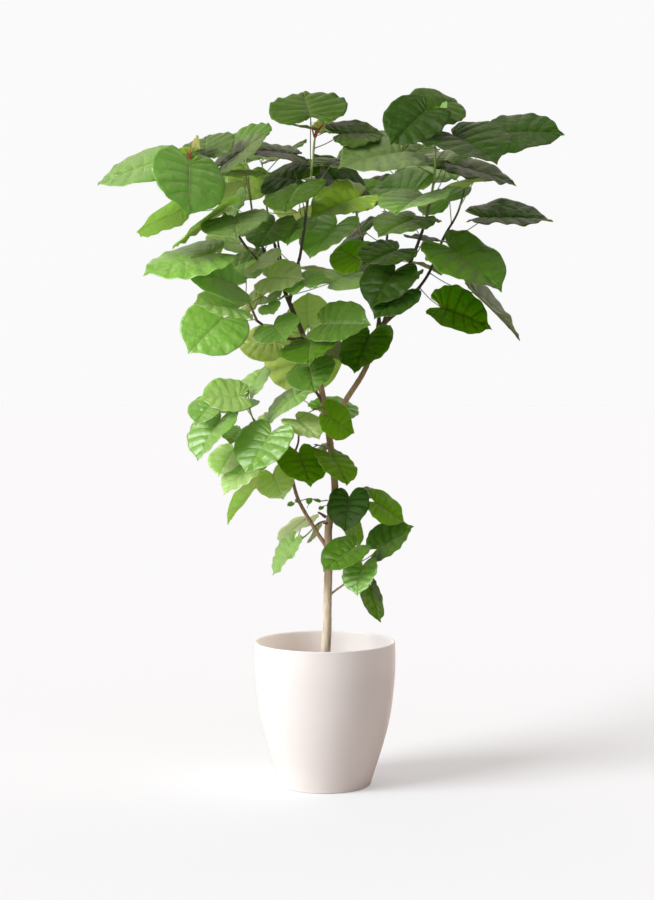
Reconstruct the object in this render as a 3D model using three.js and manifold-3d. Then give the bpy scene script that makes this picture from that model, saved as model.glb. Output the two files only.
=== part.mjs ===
// A potted umbrella-leaf fig: one slim trunk that forks twice, long-stalked heart-shaped leaves
// in open masses, and a plain round planter. Millimetres, +Z up, +X to the right and +Y away
// from the viewer. The origin is the middle of the planter's flat underside.
import * as THREE from 'three';
import { mergeVertices } from 'three/addons/utils/BufferGeometryUtils.js';
import Module from 'manifold-3d';

const wasm = await Module();
wasm.setup();
const { Manifold, Mesh: SolidMesh } = wasm;

// Planter and soil
const POT_HEIGHT = 338;
const POT_WALL = 4;
const POT_FLOOR = 6;
const POT_SIDES = 36;
const FOOT_RADIUS = 105;
const FOOT_ROUND = 4;
const POT_PROFILE = [[118, 33], [139, 100], [155, 167], [164, 246], [166, 296], [165, 332]];
const POT_RINGS = 8; // steps of the profile's curve
const RIM_ROUND = 1;
const SOIL_TOP = 276;
const SLIT = 0.3; // what neighbouring pieces keep between them
const CUT_BLOCK = 200; // the block that takes off what would be below the soil's top

// Wood
const TRUNK_SIDES = 10;
const BOUGH_SIDES = 7;
const STEM_SIDES = 5;
const STALK_SIDES = 3;
const STEP_LENGTH = 32; // between two rings of a limb
const FLARE = 7; // extra radius where the trunk meets the soil
const FLARE_HEIGHT = 24;
const CURVE_TENSION = 0.5;
const CURVE_STEPS = 60; // for measuring along a curve
const STEM_PLACES = 40; // places for stalks along a stem
const ROD_LENGTH = 15; // the straight rods that stand for wood when leaves look for room
const STALK_RODS = 4;

// Leaf, in parts of its midrib's length: 0 where the stalk joins, 1 at the tip
const OUTLINE = [[0, 0], [-0.14, 0.05], [-0.27, 0.2], [-0.22, 0.42], [-0.02, 0.58], [0.24, 0.64],
  [0.5, 0.59], [0.72, 0.43], [0.88, 0.21], [1, 0]];
const HALF_WIDTH = [[-0.27, 0.3], [-0.15, 0.52], [0.05, 0.61], [0.28, 0.64], [0.5, 0.59],
  [0.72, 0.43], [0.88, 0.21], [1, 0.03]];
const BLADE_MIDRIB = [0, 0.33, 0.67, 1];
const BLADE_EDGE = [[-0.27, 0.24], [0.02, 0.62], [0.58, 0.55], [0.985, 0.03]];
const BLADE_THICKNESS = 2.2;
const STALK_SHARE = 0.6; // stalk length as a share of the blade
const STALK_RADIUS = 1.7;
const STALK_END_RADIUS = 0.9;
const CURL = [0.05, 0.16]; // how far a blade bends down along and across its midrib
const CUP = [0.04, 0.2];
const LIGHT = new THREE.Vector3(-0.3, -0.62, 0.72).normalize(); // where blades turn to
const BLADE_MIDDLE = 0.4; // along the midrib
const BLADE_REACH = 0.95; // no point of a blade is further from its middle
const VEIN_FOOT = 0.05; // along the midrib, the first point that veins leave from
const STALK_INSIDE = 0.04; // along the midrib, where the stalk ends inside the blade
const BLADE_CLEAR = 4.5; // from one blade to the next
const WOOD_CLEAR = 2;
const WOOD_REACH = 30; // rods further than this from a blade are not looked at
const STALK_REACH = 60;
const OWN_LIMB_REACH = 24; // a stalk near its stem's foot may pass this close to the limb there
const STALK_START = 0.06; // how far up a stem its first leaf stands
const LEAST_LENGTH = 1e-9;
const WELD = 1e-4; // corners this close are one
// A leaf that touches something is moved, mostly nearer the viewer or further away, until it is
// free, and is given up where no place is
const MOVE_DEPTH = 8; // from one try to the next
const MOVE_DEPTHS = 11; // tries to each side of its own place
const MOVE_ACROSS = [0, 9, 18]; // rings of places up, down, left and right
const MOVE_SPOKES = 6;

// Limbs: what each grows from, its centre line, and its radius at the foot and the tip
const LIMBS = {
  trunk: { radius: [11, 6.6], path: [[-1, 0, 262], [0, 0, 300], [5, 0, 363], [6, 0, 434], [9, 0, 541],
    [8, 0, 602], [19, 0, 663], [23, 0, 708], [13, 0, 797], [0, 0, 886], [-9, 0, 933], [-26, 0, 999]] },
  bough_left: { on: ['trunk'], radius: [6.4, 4.6],
    path: [[-25, 0, 995], [-54, 0, 1064], [-86, 0, 1139], [-107, 0, 1195]] },
  bough_left_outer: { on: ['bough_left'], radius: [4.3, 3.7],
    path: [[-106, 0, 1192], [-128, -5, 1212], [-155, -10, 1227]] },
  bough_left_inner: { on: ['bough_left', 'bough_left_outer'], radius: [4.0, 3.5],
    path: [[-106, 0, 1192], [-119, 14, 1216], [-139, 25, 1238]] },
  bough_dead: { on: ['bough_left'], radius: [3.4, 2.2],
    path: [[-92, 0, 1155], [-94, 12, 1180], [-99, 16, 1206], [-105, 19, 1244], [-112, 24, 1286]] },
  bough_centre: { on: ['bough_left'], radius: [4.4, 3.8],
    path: [[-84, 0, 1134], [-74, -15, 1171], [-65, -30, 1216]] },
  bough_back_left: { on: ['bough_left'], radius: [4.6, 3.8],
    path: [[-79, 0, 1125], [-92, 50, 1152], [-104, 110, 1205], [-120, 170, 1268]] },
  bough_left_low: { on: ['bough_left'], radius: [3.8, 3.2],
    path: [[-49, 0, 1050], [-80, -14, 1047], [-114, -30, 1059], [-159, -45, 1090]] },
  bough_right: { on: ['trunk'], radius: [7.2, 5.6],
    path: [[9, 0, 812], [30, 3, 858], [47, 5, 901], [93, 10, 975], [132, 12, 1074], [141, 12, 1088]] },
  bough_right_top: { on: ['bough_right'], radius: [5, 4.3],
    path: [[140, 12, 1086], [168, -5, 1162], [195, -20, 1217]] },
  bough_right_outer: { on: ['bough_right', 'bough_right_top'], radius: [4.8, 4.3],
    path: [[139, 12, 1085], [156, 22, 1100], [177, 35, 1117]] },
  bough_centre_right: { on: ['bough_right'], radius: [4.4, 3.6],
    path: [[125, 11, 1050], [128, 34, 1090], [121, 50, 1150], [107, 60, 1227]] },
  bough_back_right: { on: ['bough_right'], radius: [4.6, 3.8],
    path: [[108, 10, 1012], [122, 50, 1060], [131, 90, 1119], [143, 160, 1207]] },
  bough_low_left: { on: ['trunk'], radius: [5, 3.8],
    path: [[9, 0, 552], [-6, -2, 575], [-21, -5, 598], [-61, -15, 669], [-77, -20, 723]] },
  bough_low_right: { on: ['trunk'], radius: [2.6, 2.2],
    path: [[6, 0, 440], [22, 0, 455], [44, 0, 471]] },
  stub_fork: { on: ['trunk'], radius: [4.2, 3.2], path: [[-5, 0, 900], [-14, -2, 914], [-22, -4, 926]] },
  stub_low_left: { on: ['bough_low_left'], radius: [3, 2.4],
    path: [[-77, -20, 712], [-88, -22, 708], [-93, -23, 707]] },
};

// Masses: the limb each one meets and its stems, the first from that limb and the others from
// the first. A leaf's row holds, in degrees and millimetres: the bearing (0 right, 90 away,
// 180 left, 270 to the viewer) and the rise of its stalk, then the heading, the droop and the
// length of its blade, and last its tilt about the midrib and its stalk's share, where these
// differ from none and the usual one.
const MASSES = {
  foliage_left_top: { on: 'bough_left_outer', seed: 11, stems: [{ radius: [3.7, 1.8],
    path: [[-153, -9, 1225], [-184, -25, 1262], [-227, -50, 1329], [-257, -80, 1384], [-305, -120, 1453]],
    leaves: [
      [206, 1, 196, 15, 163, -10, 0.65], [318, -44, 300, 0, 80], [261, 32, 276, 19, 122, 10, 0.69],
      [255, 20, 206, 30, 150, -40, 0.57], [150, 61, 87, 5, 105, 0, 0.7], [203, -6, 211, 21, 124, -50, 0.8],
      [292, 62, 355, -37, 128, 15, 0.7], [235, 31, 279, 56, 140, 45], [88, 57, 96, -38, 112],
      [164, 12, 177, 15, 154, -10], [90, 32, 289, -7, 62]] }] },
  foliage_left_inner: { on: 'bough_left_inner', seed: 23, stems: [{ radius: [3.5, 1.6],
    path: [[-137, 24, 1235], [-163, 60, 1312], [-174, 75, 1358], [-189, 100, 1479]],
    leaves: [
      [206, 20, 213, -3, 92, 0, 0.8], [325, 33, 233, 42, 95], [134, 25, 120, -16, 90, 40, 0.7],
      [246, 67, 245, -4, 90, 0, 0.65], [90, 39, 249, 58, 88, 40, 0.63], [57, 9, 60, -25, 112]] }] },
  foliage_left_low: { on: 'bough_left_low', seed: 37, stems: [{ radius: [3.2, 1.6],
    path: [[-157, -44, 1088], [-175, -60, 1129], [-195, -75, 1156]],
    leaves: [
      [199, 2, 215, 42, 122, 30, 0.65], [224, 47, 209, -20, 139], [51, 25, 144, 21, 80],
      [91, 61, 99, -31, 95], [265, -40, 211, -8, 108]] }] },
  foliage_centre_top: { on: 'bough_centre', seed: 41, stems: [{ radius: [3.8, 1.8],
    path: [[-65, -30, 1214], [-56, -35, 1248], [-39, -50, 1368], [-32, -55, 1416], [-22, -60, 1513]],
    leaves: [
      [323, -74, 92, -32, 80, 0, 0.8], [133, 71, 252, 33, 90, 0, 0.7], [249, 71, 250, 27, 118, -5, 0.88],
      [114, 72, 146, -11, 118, 0, 0.85], [142, 69, 198, -9, 122, -15, 1.1],
      [24, 50, 56, -20, 110, 0, 0.75], [90, 76, 101, -35, 142, -15, 0.97],
      [52, 81, 216, -8, 98, -15, 0.81], [337, 23, 15, -8, 104, 0, 0.7], [60, 33, 31, -20, 60]] }] },
  foliage_centre_right: { on: 'bough_centre_right', seed: 53, stems: [{ radius: [3.6, 1.8],
    path: [[108, 60, 1224], [94, 60, 1262], [72, 55, 1355], [61, 50, 1377]],
    leaves: [
      [245, -4, 132, -26, 92], [211, 34, 225, 40, 118, -5, 0.8], [231, 62, 201, 19, 128, 0, 0.75],
      [109, 59, 32, -40, 112], [245, 39, 170, -54, 139, -40], [86, -14, 245, 24, 92]] }] },
  foliage_right_inner: { on: 'bough_right', seed: 67, stems: [{ radius: [2.6, 1.5],
    path: [[133, 8, 1071], [138, -20, 1098], [148, -45, 1137], [156, -60, 1182]], start: 0.15,
    leaves: [
      [237, -26, 234, 52, 108, -5], [325, 41, 206, 33, 96], [283, 52, 222, 45, 110],
      [282, 60, 218, 18, 108, 0, 0.7]] }] },
  foliage_right_top: { on: 'bough_right_top', seed: 71, stems: [{ radius: [4.3, 2],
    path: [[194, -20, 1215], [215, -30, 1267], [236, -55, 1336], [251, -75, 1429], [249, -90, 1536]],
    leaves: [
      [22, 56, 51, -4, 95], [319, -5, 331, 33, 160, 25], [252, 30, 223, 17, 114],
      [255, 45, 241, 19, 130], [126, 54, 152, -9, 112], [41, 57, 355, 14, 168, 25, 0.69],
      [34, 61, 76, -27, 120], [209, 28, 202, 8, 156, 0, 0.65], [300, 35, 306, 21, 168, 22, 0.51],
      [247, 55, 209, 39, 120, 15, 0.62], [109, 64, 44, -26, 110, -25, 0.57], [275, 40, 295, -17, 48]] }] },
  foliage_right_outer: { on: 'bough_right_outer', seed: 83, stems: [{ radius: [4.2, 1.9],
    path: [[175, 34, 1115], [243, 75, 1199], [285, 110, 1294], [322, 130, 1361], [347, 155, 1461],
      [354, 160, 1509]],
    leaves: [
      [87, 48, 107, 1, 105], [341, -41, 358, 17, 127, 5], [17, -22, 15, 39, 166, 40, 0.75],
      [54, -7, 64, -12, 120], [338, 25, 356, -2, 163, 20, 0.7], [94, 67, 117, -19, 110],
      [20, 61, 232, -3, 78, -20, 0.87], [152, 43, 211, 5, 110, 0, 0.7], [53, 44, 70, -24, 120],
      [14, 28, 349, -5, 147, 4, 0.64]] }] },
  foliage_middle: { on: 'bough_left', seed: 97, stems: [{ radius: [2.8, 1.8],
    path: [[-52, -2, 1060], [-49, -40, 1054], [-37, -70, 1048]], start: 0.35,
    leaves: [
      [198, 17, 291, 22, 92, 0, 0.8], [285, -14, 267, 24, 110], [319, 24, 331, -2, 112],
      [100, 32, 102, -72, 88], [275, -67, 275, 29, 96, 0, 0.75]] }] },
  foliage_middle_left: { on: 'bough_left', seed: 103, stems: [{ radius: [2.6, 1.5],
    path: [[-91, 0, 1152], [-104, -30, 1140], [-118, -50, 1136]], start: 0.35,
    leaves: [
      [342, 15, 37, -21, 100, 0, 1.2], [214, 36, 332, -2, 92], [222, 10, 301, -4, 48],
      [237, -27, 288, 23, 44]] }] },
  foliage_middle_back: { on: 'trunk', seed: 109, stems: [{ radius: [2.8, 1.6],
    path: [[-22, 0, 985], [-36, 45, 1012], [-52, 75, 1024], [-78, 92, 1030]], start: 0.35,
    leaves: [
      [57, 26, 61, 18, 110], [164, 51, 115, -17, 105, 0, 0.65], [204, 13, 172, -2, 102, 0, 0.65],
      [73, 12, 91, 72, 155, 35, 0.55]] }] },
  foliage_trunk_upper: { on: 'trunk', seed: 127, stems: [{ radius: [2.6, 1.6],
    path: [[-1, 0, 890], [-9, -30, 887], [-21, -50, 885]], start: 0.35,
    leaves: [
      [286, -21, 21, 33, 80, -5], [204, 27, 176, 35, 104, -20, 0.65], [69, -9, 26, -11, 98],
      [207, -27, 321, 24, 78, 25, 0.7]] }] },
  foliage_trunk_lower: { on: 'trunk', seed: 131, stems: [{ radius: [2.4, 1.5],
    path: [[13, 0, 799], [0, -30, 798], [-16, -45, 801]], start: 0.35,
    leaves: [
      [118, -28, 118, 9, 90], [292, -23, 308, 39, 88, 45], [214, -17, 298, 44, 94, 30]] }] },
  foliage_low_right: { on: 'trunk', seed: 139, stems: [{ radius: [2.4, 1.5],
    path: [[18, 0, 656], [34, 8, 668], [55, 10, 672], [87, 5, 668]], start: 0.35,
    leaves: [
      [291, 12, 251, 66, 84], [87, -54, 85, 59, 88], [45, 21, 43, -10, 55], [308, -2, 6, 30, 84, 15]] }] },
  foliage_lowest_right: { on: 'bough_low_right', seed: 149, stems: [{ radius: [2.2, 1.4],
    path: [[43, 0, 470], [56, 2, 484], [68, 5, 500], [82, 8, 523]],
    leaves: [
      [335, -3, 8, 78, 87, -50, 0.8], [331, 45, 244, 53, 76, -10], [261, 72, 210, 28, 95, -5, 0.65],
      [327, 34, 343, -35, 101, 5]] }] },
  foliage_low_left: { on: 'bough_low_left', seed: 151, stems: [{ radius: [3.4, 1.4],
    path: [[-77, -20, 721], [-84, -28, 777], [-116, -35, 817], [-160, -40, 850], [-176, -40, 892],
      [-178, -40, 920]],
    leaves: [
      [194, 1, 298, 48, 74], [216, 49, 226, 48, 116, 0, 0.65], [158, 33, 133, 13, 90, 0, 0.65],
      [212, 48, 199, -1, 95, 5, 1.25], [219, 55, 214, 16, 84, 0, 0.85], [269, 51, 52, -56, 83, 20],
      [198, -14, 228, 35, 76, 0, 1.15]] },
  { radius: [2.6, 1.4], path: [[-116, -35, 817], [-138, -26, 816], [-161, -20, 812], [-208, -15, 810]],
    leaves: [
      [211, -47, 207, 40, 106, -15, 0.7], [132, -73, 186, 48, 108, -55, 1.15],
      [154, 30, 249, 21, 66, 0, 0.7], [132, -31, 234, 43, 80], [226, 46, 224, 44, 114, -15]] }] },
  foliage_low_left_small: { on: 'trunk', seed: 163, stems: [{ radius: [2, 1.3],
    path: [[8, 0, 621], [-6, 8, 619], [-20, 12, 611], [-43, 14, 587], [-66, 10, 568]], start: 0.3,
    leaves: [
      [90, -40, 122, 25, 50], [228, -18, 186, 54, 91, -25], [57, 57, 219, 27, 90, -25]] }] },
  foliage_back_left: { on: 'bough_back_left', seed: 173, stems: [{ radius: [3.8, 1.7],
    path: [[-119, 168, 1266], [-141, 225, 1359], [-157, 270, 1487]],
    leaves: [
      [29, -36, 59, 2, 120, 0, 0.7], [154, -52, 143, 4, 125, 0, 0.8], [196, -12, 237, -8, 120, 0, 0.75],
      [23, 3, 63, 15, 125, 0, 0.65], [22, 50, 51, -9, 120, 0, 0.65], [165, 2, 133, -3, 130, 0, 0.8],
      [313, 54, 282, 1, 100, 0, 0.75], [150, 63, 124, -20, 110]] }] },
  foliage_back_right: { on: 'bough_back_right', seed: 181, stems: [{ radius: [3.8, 1.7],
    path: [[142, 158, 1205], [155, 230, 1322], [175, 285, 1464]],
    leaves: [
      [106, 20, 127, 10, 130], [36, -7, 49, 4, 130], [145, 29, 125, 7, 120], [42, 34, 51, -2, 120],
      [126, 51, 129, -18, 125], [22, 41, 39, -24, 130, 0, 0.8], [33, 64, 49, -30, 115, 0, 0.7],
      [158, 47, 129, -18, 120, 0, 0.75]] }] },
};

const FINISH = {
  pot: { color: 0xf3f0ec, roughness: 0.3, metalness: 0 },
  soil: { color: 0x3b2c20, roughness: 1, metalness: 0 },
  bark: { color: 0xa08a70, roughness: 0.85, metalness: 0 },
  twig: { color: 0x4c4430, roughness: 0.8, metalness: 0 },
  leaf: { color: 0x3f7f26, roughness: 0.45, metalness: 0 },
  young: { color: 0x7cb342, roughness: 0.5, metalness: 0 },
};

const model = new THREE.Group();

function material(kind) {
  return new THREE.MeshStandardMaterial(FINISH[kind]);
}

// A closed geometry becomes a solid, turned right side out
function solid(geometry) {
  geometry.deleteAttribute('normal');
  geometry.deleteAttribute('uv');
  const shape = mergeVertices(geometry, WELD);
  const mesh = new SolidMesh({ numProp: 3,
    vertProperties: new Float32Array(shape.getAttribute('position').array),
    triVerts: new Uint32Array(shape.getIndex().array) });
  return new Manifold(mesh);
}

// The largest body of a solid becomes a named mesh of the model
function place(name, shape, kind) {
  const bodies = shape.decompose().sort((a, b) => b.volume() - a.volume());
  const { vertProperties, triVerts } = bodies[0].getMesh();
  const geometry = new THREE.BufferGeometry();
  geometry.setAttribute('position', new THREE.BufferAttribute(new Float32Array(vertProperties), 3));
  geometry.setIndex(new THREE.BufferAttribute(new Uint32Array(triVerts), 1));
  geometry.computeVertexNormals();
  const mesh = new THREE.Mesh(geometry, material(kind));
  mesh.name = name;
  model.add(mesh);
}

function curveThrough(path) {
  const points = path.map((p) => new THREE.Vector3(...p));
  return new THREE.CatmullRomCurve3(points, false, 'catmullrom', CURVE_TENSION);
}

// Points evenly spaced by length along a curve
function evenPoints(path, count) {
  const curve = curveThrough(path);
  const fine = Array.from({ length: CURVE_STEPS + 1 }, (_, i) => curve.getPoint(i / CURVE_STEPS));
  const run = [0];
  for (let i = 1; i < fine.length; i += 1) run.push(run[i - 1] + fine[i].distanceTo(fine[i - 1]));
  return Array.from({ length: count + 1 }, (_, k) => {
    const want = (run[CURVE_STEPS] * k) / count;
    let j = 1;
    while (j < CURVE_STEPS && run[j] < want) j += 1;
    return fine[j - 1].clone().lerp(fine[j], (want - run[j - 1]) / (run[j] - run[j - 1]));
  });
}

function pathLength(path) {
  return curveThrough(path).getLength();
}

function limbRadius(limb, share, height) {
  const flare = limb === LIMBS.trunk ? FLARE * Math.exp(-Math.max(height - SOIL_TOP, 0) / FLARE_HEIGHT) : 0;
  return limb.radius[0] + (limb.radius[1] - limb.radius[0]) * share + flare;
}

// One tapering limb: a round section swept along the path, then drawn in ring by ring.
// With `grown` it is that much thicker and longer, to cut its neighbours clear.
function limbSolid(limb, sides, grown = 0) {
  const curve = curveThrough(limb.path);
  if (grown) {
    const end = curve.getTangent(1).multiplyScalar(grown).add(curve.getPoint(1));
    curve.points[curve.points.length - 1] = end;
  }
  const steps = Math.max(2, Math.round(curve.getLength() / STEP_LENGTH));
  const ring = new THREE.Shape(Array.from({ length: sides }, (_, i) => {
    const angle = (2 * Math.PI * i) / sides;
    return new THREE.Vector2(Math.cos(angle), Math.sin(angle));
  }));
  const tube = new THREE.ExtrudeGeometry(ring, { steps, bevelEnabled: false, extrudePath: curve });
  const centres = curve.getSpacedPoints(steps);
  const position = tube.getAttribute('position');
  const point = new THREE.Vector3();
  for (let i = 0; i < position.count; i += 1) {
    point.fromBufferAttribute(position, i);
    let near = 0;
    centres.forEach((c, k) => {
      if (c.distanceTo(point) < centres[near].distanceTo(point)) near = k;
    });
    const centre = centres[near];
    point.sub(centre).multiplyScalar(limbRadius(limb, near / steps, centre.z) + grown).add(centre);
    position.setXYZ(i, point.x, point.y, point.z);
  }
  return solid(tube);
}

function aim(bearing, rise) {
  const b = THREE.MathUtils.degToRad(bearing);
  const r = THREE.MathUtils.degToRad(rise);
  return new THREE.Vector3(Math.cos(r) * Math.cos(b), Math.cos(r) * Math.sin(b), Math.sin(r));
}

// The same draws in the same order each run
function seededDraw(seed) {
  let state = seed;
  return (low, high) => {
    state = (state * 16807) % 2147483647;
    return low + ((high - low) * state) / 2147483647;
  };
}

// A leaf's frame: where its stalk joins, and the blade's own three directions
function leafAt(node, row, shift, form) {
  const [bearing, rise, heading, droop, length, tilt = 0, share = STALK_SHARE] = row;
  const joint = aim(bearing, rise).multiplyScalar(length * share).add(node).add(shift);
  const along = aim(heading, -droop);
  const face = LIGHT.clone().addScaledVector(along, -LIGHT.dot(along)).normalize();
  const side = face.clone().cross(along);
  const turn = THREE.MathUtils.degToRad(tilt);
  const up = face.clone().multiplyScalar(Math.cos(turn)).addScaledVector(side, Math.sin(turn));
  side.multiplyScalar(Math.cos(turn)).addScaledVector(face, -Math.sin(turn));
  return { node, joint, along, side, up, length, ...form };
}

// Height of the bent blade over its frame, and a point on it
function bend(leaf, u, v) {
  return -leaf.curl * u * u - leaf.cup * v * v;
}

function bladePoint(leaf, u, v, lift = 0) {
  return leaf.joint.clone()
    .addScaledVector(leaf.along, u * leaf.length)
    .addScaledVector(leaf.side, v * leaf.length)
    .addScaledVector(leaf.up, bend(leaf, u, v) * leaf.length + lift);
}

function halfWidth(u) {
  if (u < HALF_WIDTH[0][0] || u > 1) return -1;
  const i = HALF_WIDTH.findIndex(([at]) => at >= u) || 1;
  const [[u0, w0], [u1, w1]] = [HALF_WIDTH[i - 1], HALF_WIDTH[i]];
  return w0 + ((w1 - w0) * (u - u0)) / (u1 - u0);
}

// Does a short line come too near a blade, or pass through it?
function lineMeetsBlade(from, to, leaf, clear) {
  const ends = [from, to].map((point) => {
    const d = point.clone().sub(leaf.joint).divideScalar(leaf.length);
    const [u, v] = [d.dot(leaf.along), d.dot(leaf.side)];
    return { u, v, gap: d.dot(leaf.up) - bend(leaf, u, v) };
  });
  const near = clear / leaf.length;
  const within = ({ u, v }) => Math.abs(v) < halfWidth(u) + near;
  if (ends.some((end) => Math.abs(end.gap) < near && within(end))) return true;
  const [a, b] = ends;
  if (a.gap * b.gap > 0) return false;
  const f = a.gap / (a.gap - b.gap);
  return within({ u: a.u + (b.u - a.u) * f, v: a.v + (b.v - a.v) * f });
}

// The lines that stand for a blade: its margin and spokes from the midrib to it
function bladeLines(leaf) {
  const lines = [];
  for (const sign of [1, -1]) {
    const rim = OUTLINE.map(([u, v]) => bladePoint(leaf, u, v * sign));
    rim.slice(1).forEach((point, i) => {
      const [u, v] = OUTLINE[i + 1];
      const foot = Math.max(u, VEIN_FOOT);
      const inner = bladePoint(leaf, foot, 0);
      const middle = bladePoint(leaf, (u + foot) / 2, (v * sign) / 2);
      lines.push([rim[i], point], [inner, middle], [middle, point]);
    });
  }
  return lines;
}

function lineDistance(a, b, c, d) {
  const u = b.clone().sub(a);
  const v = d.clone().sub(c);
  const w = a.clone().sub(c);
  const [uu, uv, vv, uw, vw] = [u.dot(u), u.dot(v), v.dot(v), u.dot(w), v.dot(w)];
  const det = uu * vv - uv * uv;
  const clamp = THREE.MathUtils.clamp;
  let s = det > LEAST_LENGTH ? clamp((uv * vw - vv * uw) / det, 0, 1) : 0;
  const t = clamp((uv * s + vw) / vv, 0, 1);
  s = clamp((uv * t - uw) / uu, 0, 1);
  return w.addScaledVector(u, s).addScaledVector(v, -t).length();
}

// What the plant already fills: wood as short rods, and blades
const rods = [];
const blades = [];

function addRods(path, radius, owner) {
  const count = Math.max(2, Math.round(pathLength(path) / ROD_LENGTH));
  const points = evenPoints(path, count);
  for (let i = 0; i < count; i += 1) {
    const share = i / count;
    rods.push({ from: points[i], to: points[i + 1], owner,
      radius: radius[0] + (radius[1] - radius[0]) * share });
  }
}

function stalkRods(leaf, owner) {
  return Array.from({ length: STALK_RODS }, (_, i) => ({
    owner,
    radius: STALK_RADIUS,
    from: leaf.node.clone().lerp(leaf.joint, i / STALK_RODS),
    to: leaf.node.clone().lerp(leaf.joint, (i + 1) / STALK_RODS),
  }));
}

function leafFits(leaf, owner) {
  const middle = bladePoint(leaf, BLADE_MIDDLE, 0);
  const reach = leaf.length * BLADE_REACH;
  const lines = bladeLines(leaf);
  for (const rod of rods) {
    if (rod.from.distanceTo(middle) > reach + WOOD_REACH) continue;
    if (lineMeetsBlade(rod.from, rod.to, leaf, rod.radius + WOOD_CLEAR)) return false;
  }
  for (const other of blades) {
    if (other.middle.distanceTo(middle) > reach + other.length * BLADE_REACH) continue;
    if (lines.some(([a, b]) => lineMeetsBlade(a, b, other, BLADE_CLEAR))) return false;
    if (bladeLines(other).some(([a, b]) => lineMeetsBlade(a, b, leaf, BLADE_CLEAR))) return false;
  }
  for (const piece of stalkRods(leaf, owner)) {
    for (const other of blades) {
      if (lineMeetsBlade(piece.from, piece.to, other, STALK_RADIUS + WOOD_CLEAR)) return false;
    }
    for (const rod of rods) {
      const ownLimb = rod.owner === MASSES[owner].on && rod.from.distanceTo(leaf.node) < OWN_LIMB_REACH;
      if (rod.owner === owner || ownLimb || rod.from.distanceTo(piece.from) > STALK_REACH) continue;
      const clear = STALK_RADIUS + rod.radius + WOOD_CLEAR;
      if (lineDistance(piece.from, piece.to, rod.from, rod.to) < clear) return false;
    }
  }
  leaf.middle = middle;
  return true;
}

// The places that a leaf tries, as shifts from its own
const places = MOVE_ACROSS.flatMap((across, ring) => {
  const spokes = Array.from({ length: ring ? MOVE_SPOKES : 1 }, (_, k) => (2 * Math.PI * k) / MOVE_SPOKES);
  return Array.from({ length: 2 * MOVE_DEPTHS + 1 }, (_, k) => Math.ceil(k / 2) * (k % 2 ? 1 : -1))
    .flatMap((step) => spokes.map((turn) => new THREE.Vector3(
      across * Math.cos(turn), step * MOVE_DEPTH, across * Math.sin(turn))));
});

// Every leaf that the rows ask for, with the bend that its mass's seed gives it
function wantedLeaves(name, mass) {
  const draw = seededDraw(mass.seed);
  const wanted = [];
  for (const stem of mass.stems) {
    const nodes = evenPoints(stem.path, STEM_PLACES);
    const start = stem.start ?? STALK_START;
    stem.leaves.forEach((row, i) => {
      const share = start + ((1 - start) * i) / (stem.leaves.length - 1);
      const node = nodes[Math.round(share * STEM_PLACES)];
      const form = { curl: draw(...CURL), cup: draw(...CUP) };
      wanted.push({ name, node, row, form, depth: leafAt(node, row, places[0], form).joint.y });
    });
  }
  return wanted;
}

// The leaves nearest the viewer grow first, each in the first place that is free
function growLeaves(wanted) {
  wanted.sort((a, b) => a.depth - b.depth);
  for (const { name, node, row, form } of wanted) {
    const leaf = places.map((shift) => leafAt(node, row, shift, form)).find((one) => leafFits(one, name));
    if (leaf) {
      blades.push({ ...leaf, name });
      rods.push(...stalkRods(leaf, name));
    }
  }
}

// The blade: a thin slab of cells, drawn out to the leaf's outline and bent
function bladeSolid(leaf) {
  const cells = BLADE_EDGE.length - 1;
  const slab = new THREE.BoxGeometry(1, 2, 1, cells, 2, 1);
  const position = slab.getAttribute('position');
  for (let i = 0; i < position.count; i += 1) {
    const station = Math.round((position.getX(i) + 0.5) * cells);
    const across = position.getY(i);
    const [edgeU, edgeV] = BLADE_EDGE[station];
    const u = Math.abs(across) > 0.5 ? edgeU : BLADE_MIDRIB[station];
    const v = Math.abs(across) > 0.5 ? edgeV * Math.sign(across) : 0;
    const point = bladePoint(leaf, u, v, position.getZ(i) * BLADE_THICKNESS);
    position.setXYZ(i, point.x, point.y, point.z);
  }
  return solid(slab);
}

// The stalk: three-sided, from inside the stem to inside the blade
function stalkSolid(leaf) {
  const end = bladePoint(leaf, STALK_INSIDE, 0);
  const length = end.distanceTo(leaf.node);
  const stalk = new THREE.CylinderGeometry(STALK_END_RADIUS, STALK_RADIUS, length, STALK_SIDES, 1);
  stalk.translate(0, length / 2, 0);
  const way = end.clone().sub(leaf.node).normalize();
  stalk.applyQuaternion(new THREE.Quaternion().setFromUnitVectors(new THREE.Vector3(0, 1, 0), way));
  stalk.translate(leaf.node.x, leaf.node.y, leaf.node.z);
  return solid(stalk);
}

function addPot() {
  const outer = new THREE.SplineCurve([[FOOT_RADIUS + FOOT_ROUND, FOOT_ROUND], ...POT_PROFILE]
    .map(([r, z]) => new THREE.Vector2(r, z))).getPoints(POT_RINGS);
  const inner = outer.slice(1).map(({ x, y }) => new THREE.Vector2(x - POT_WALL, y));
  const rim = outer.at(-1).x;
  const profile = [
    new THREE.Vector2(0, 0),
    new THREE.Vector2(FOOT_RADIUS, 0),
    ...outer,
    new THREE.Vector2(rim - RIM_ROUND, POT_HEIGHT),
    new THREE.Vector2(rim - POT_WALL + RIM_ROUND, POT_HEIGHT),
    ...inner.reverse(),
    new THREE.Vector2(FOOT_RADIUS, POT_FLOOR),
    new THREE.Vector2(0, POT_FLOOR),
  ];
  const shell = new THREE.LatheGeometry(profile, POT_SIDES);
  shell.rotateX(Math.PI / 2);
  place('pot', solid(shell), 'pot');
  return inner;
}

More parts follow.
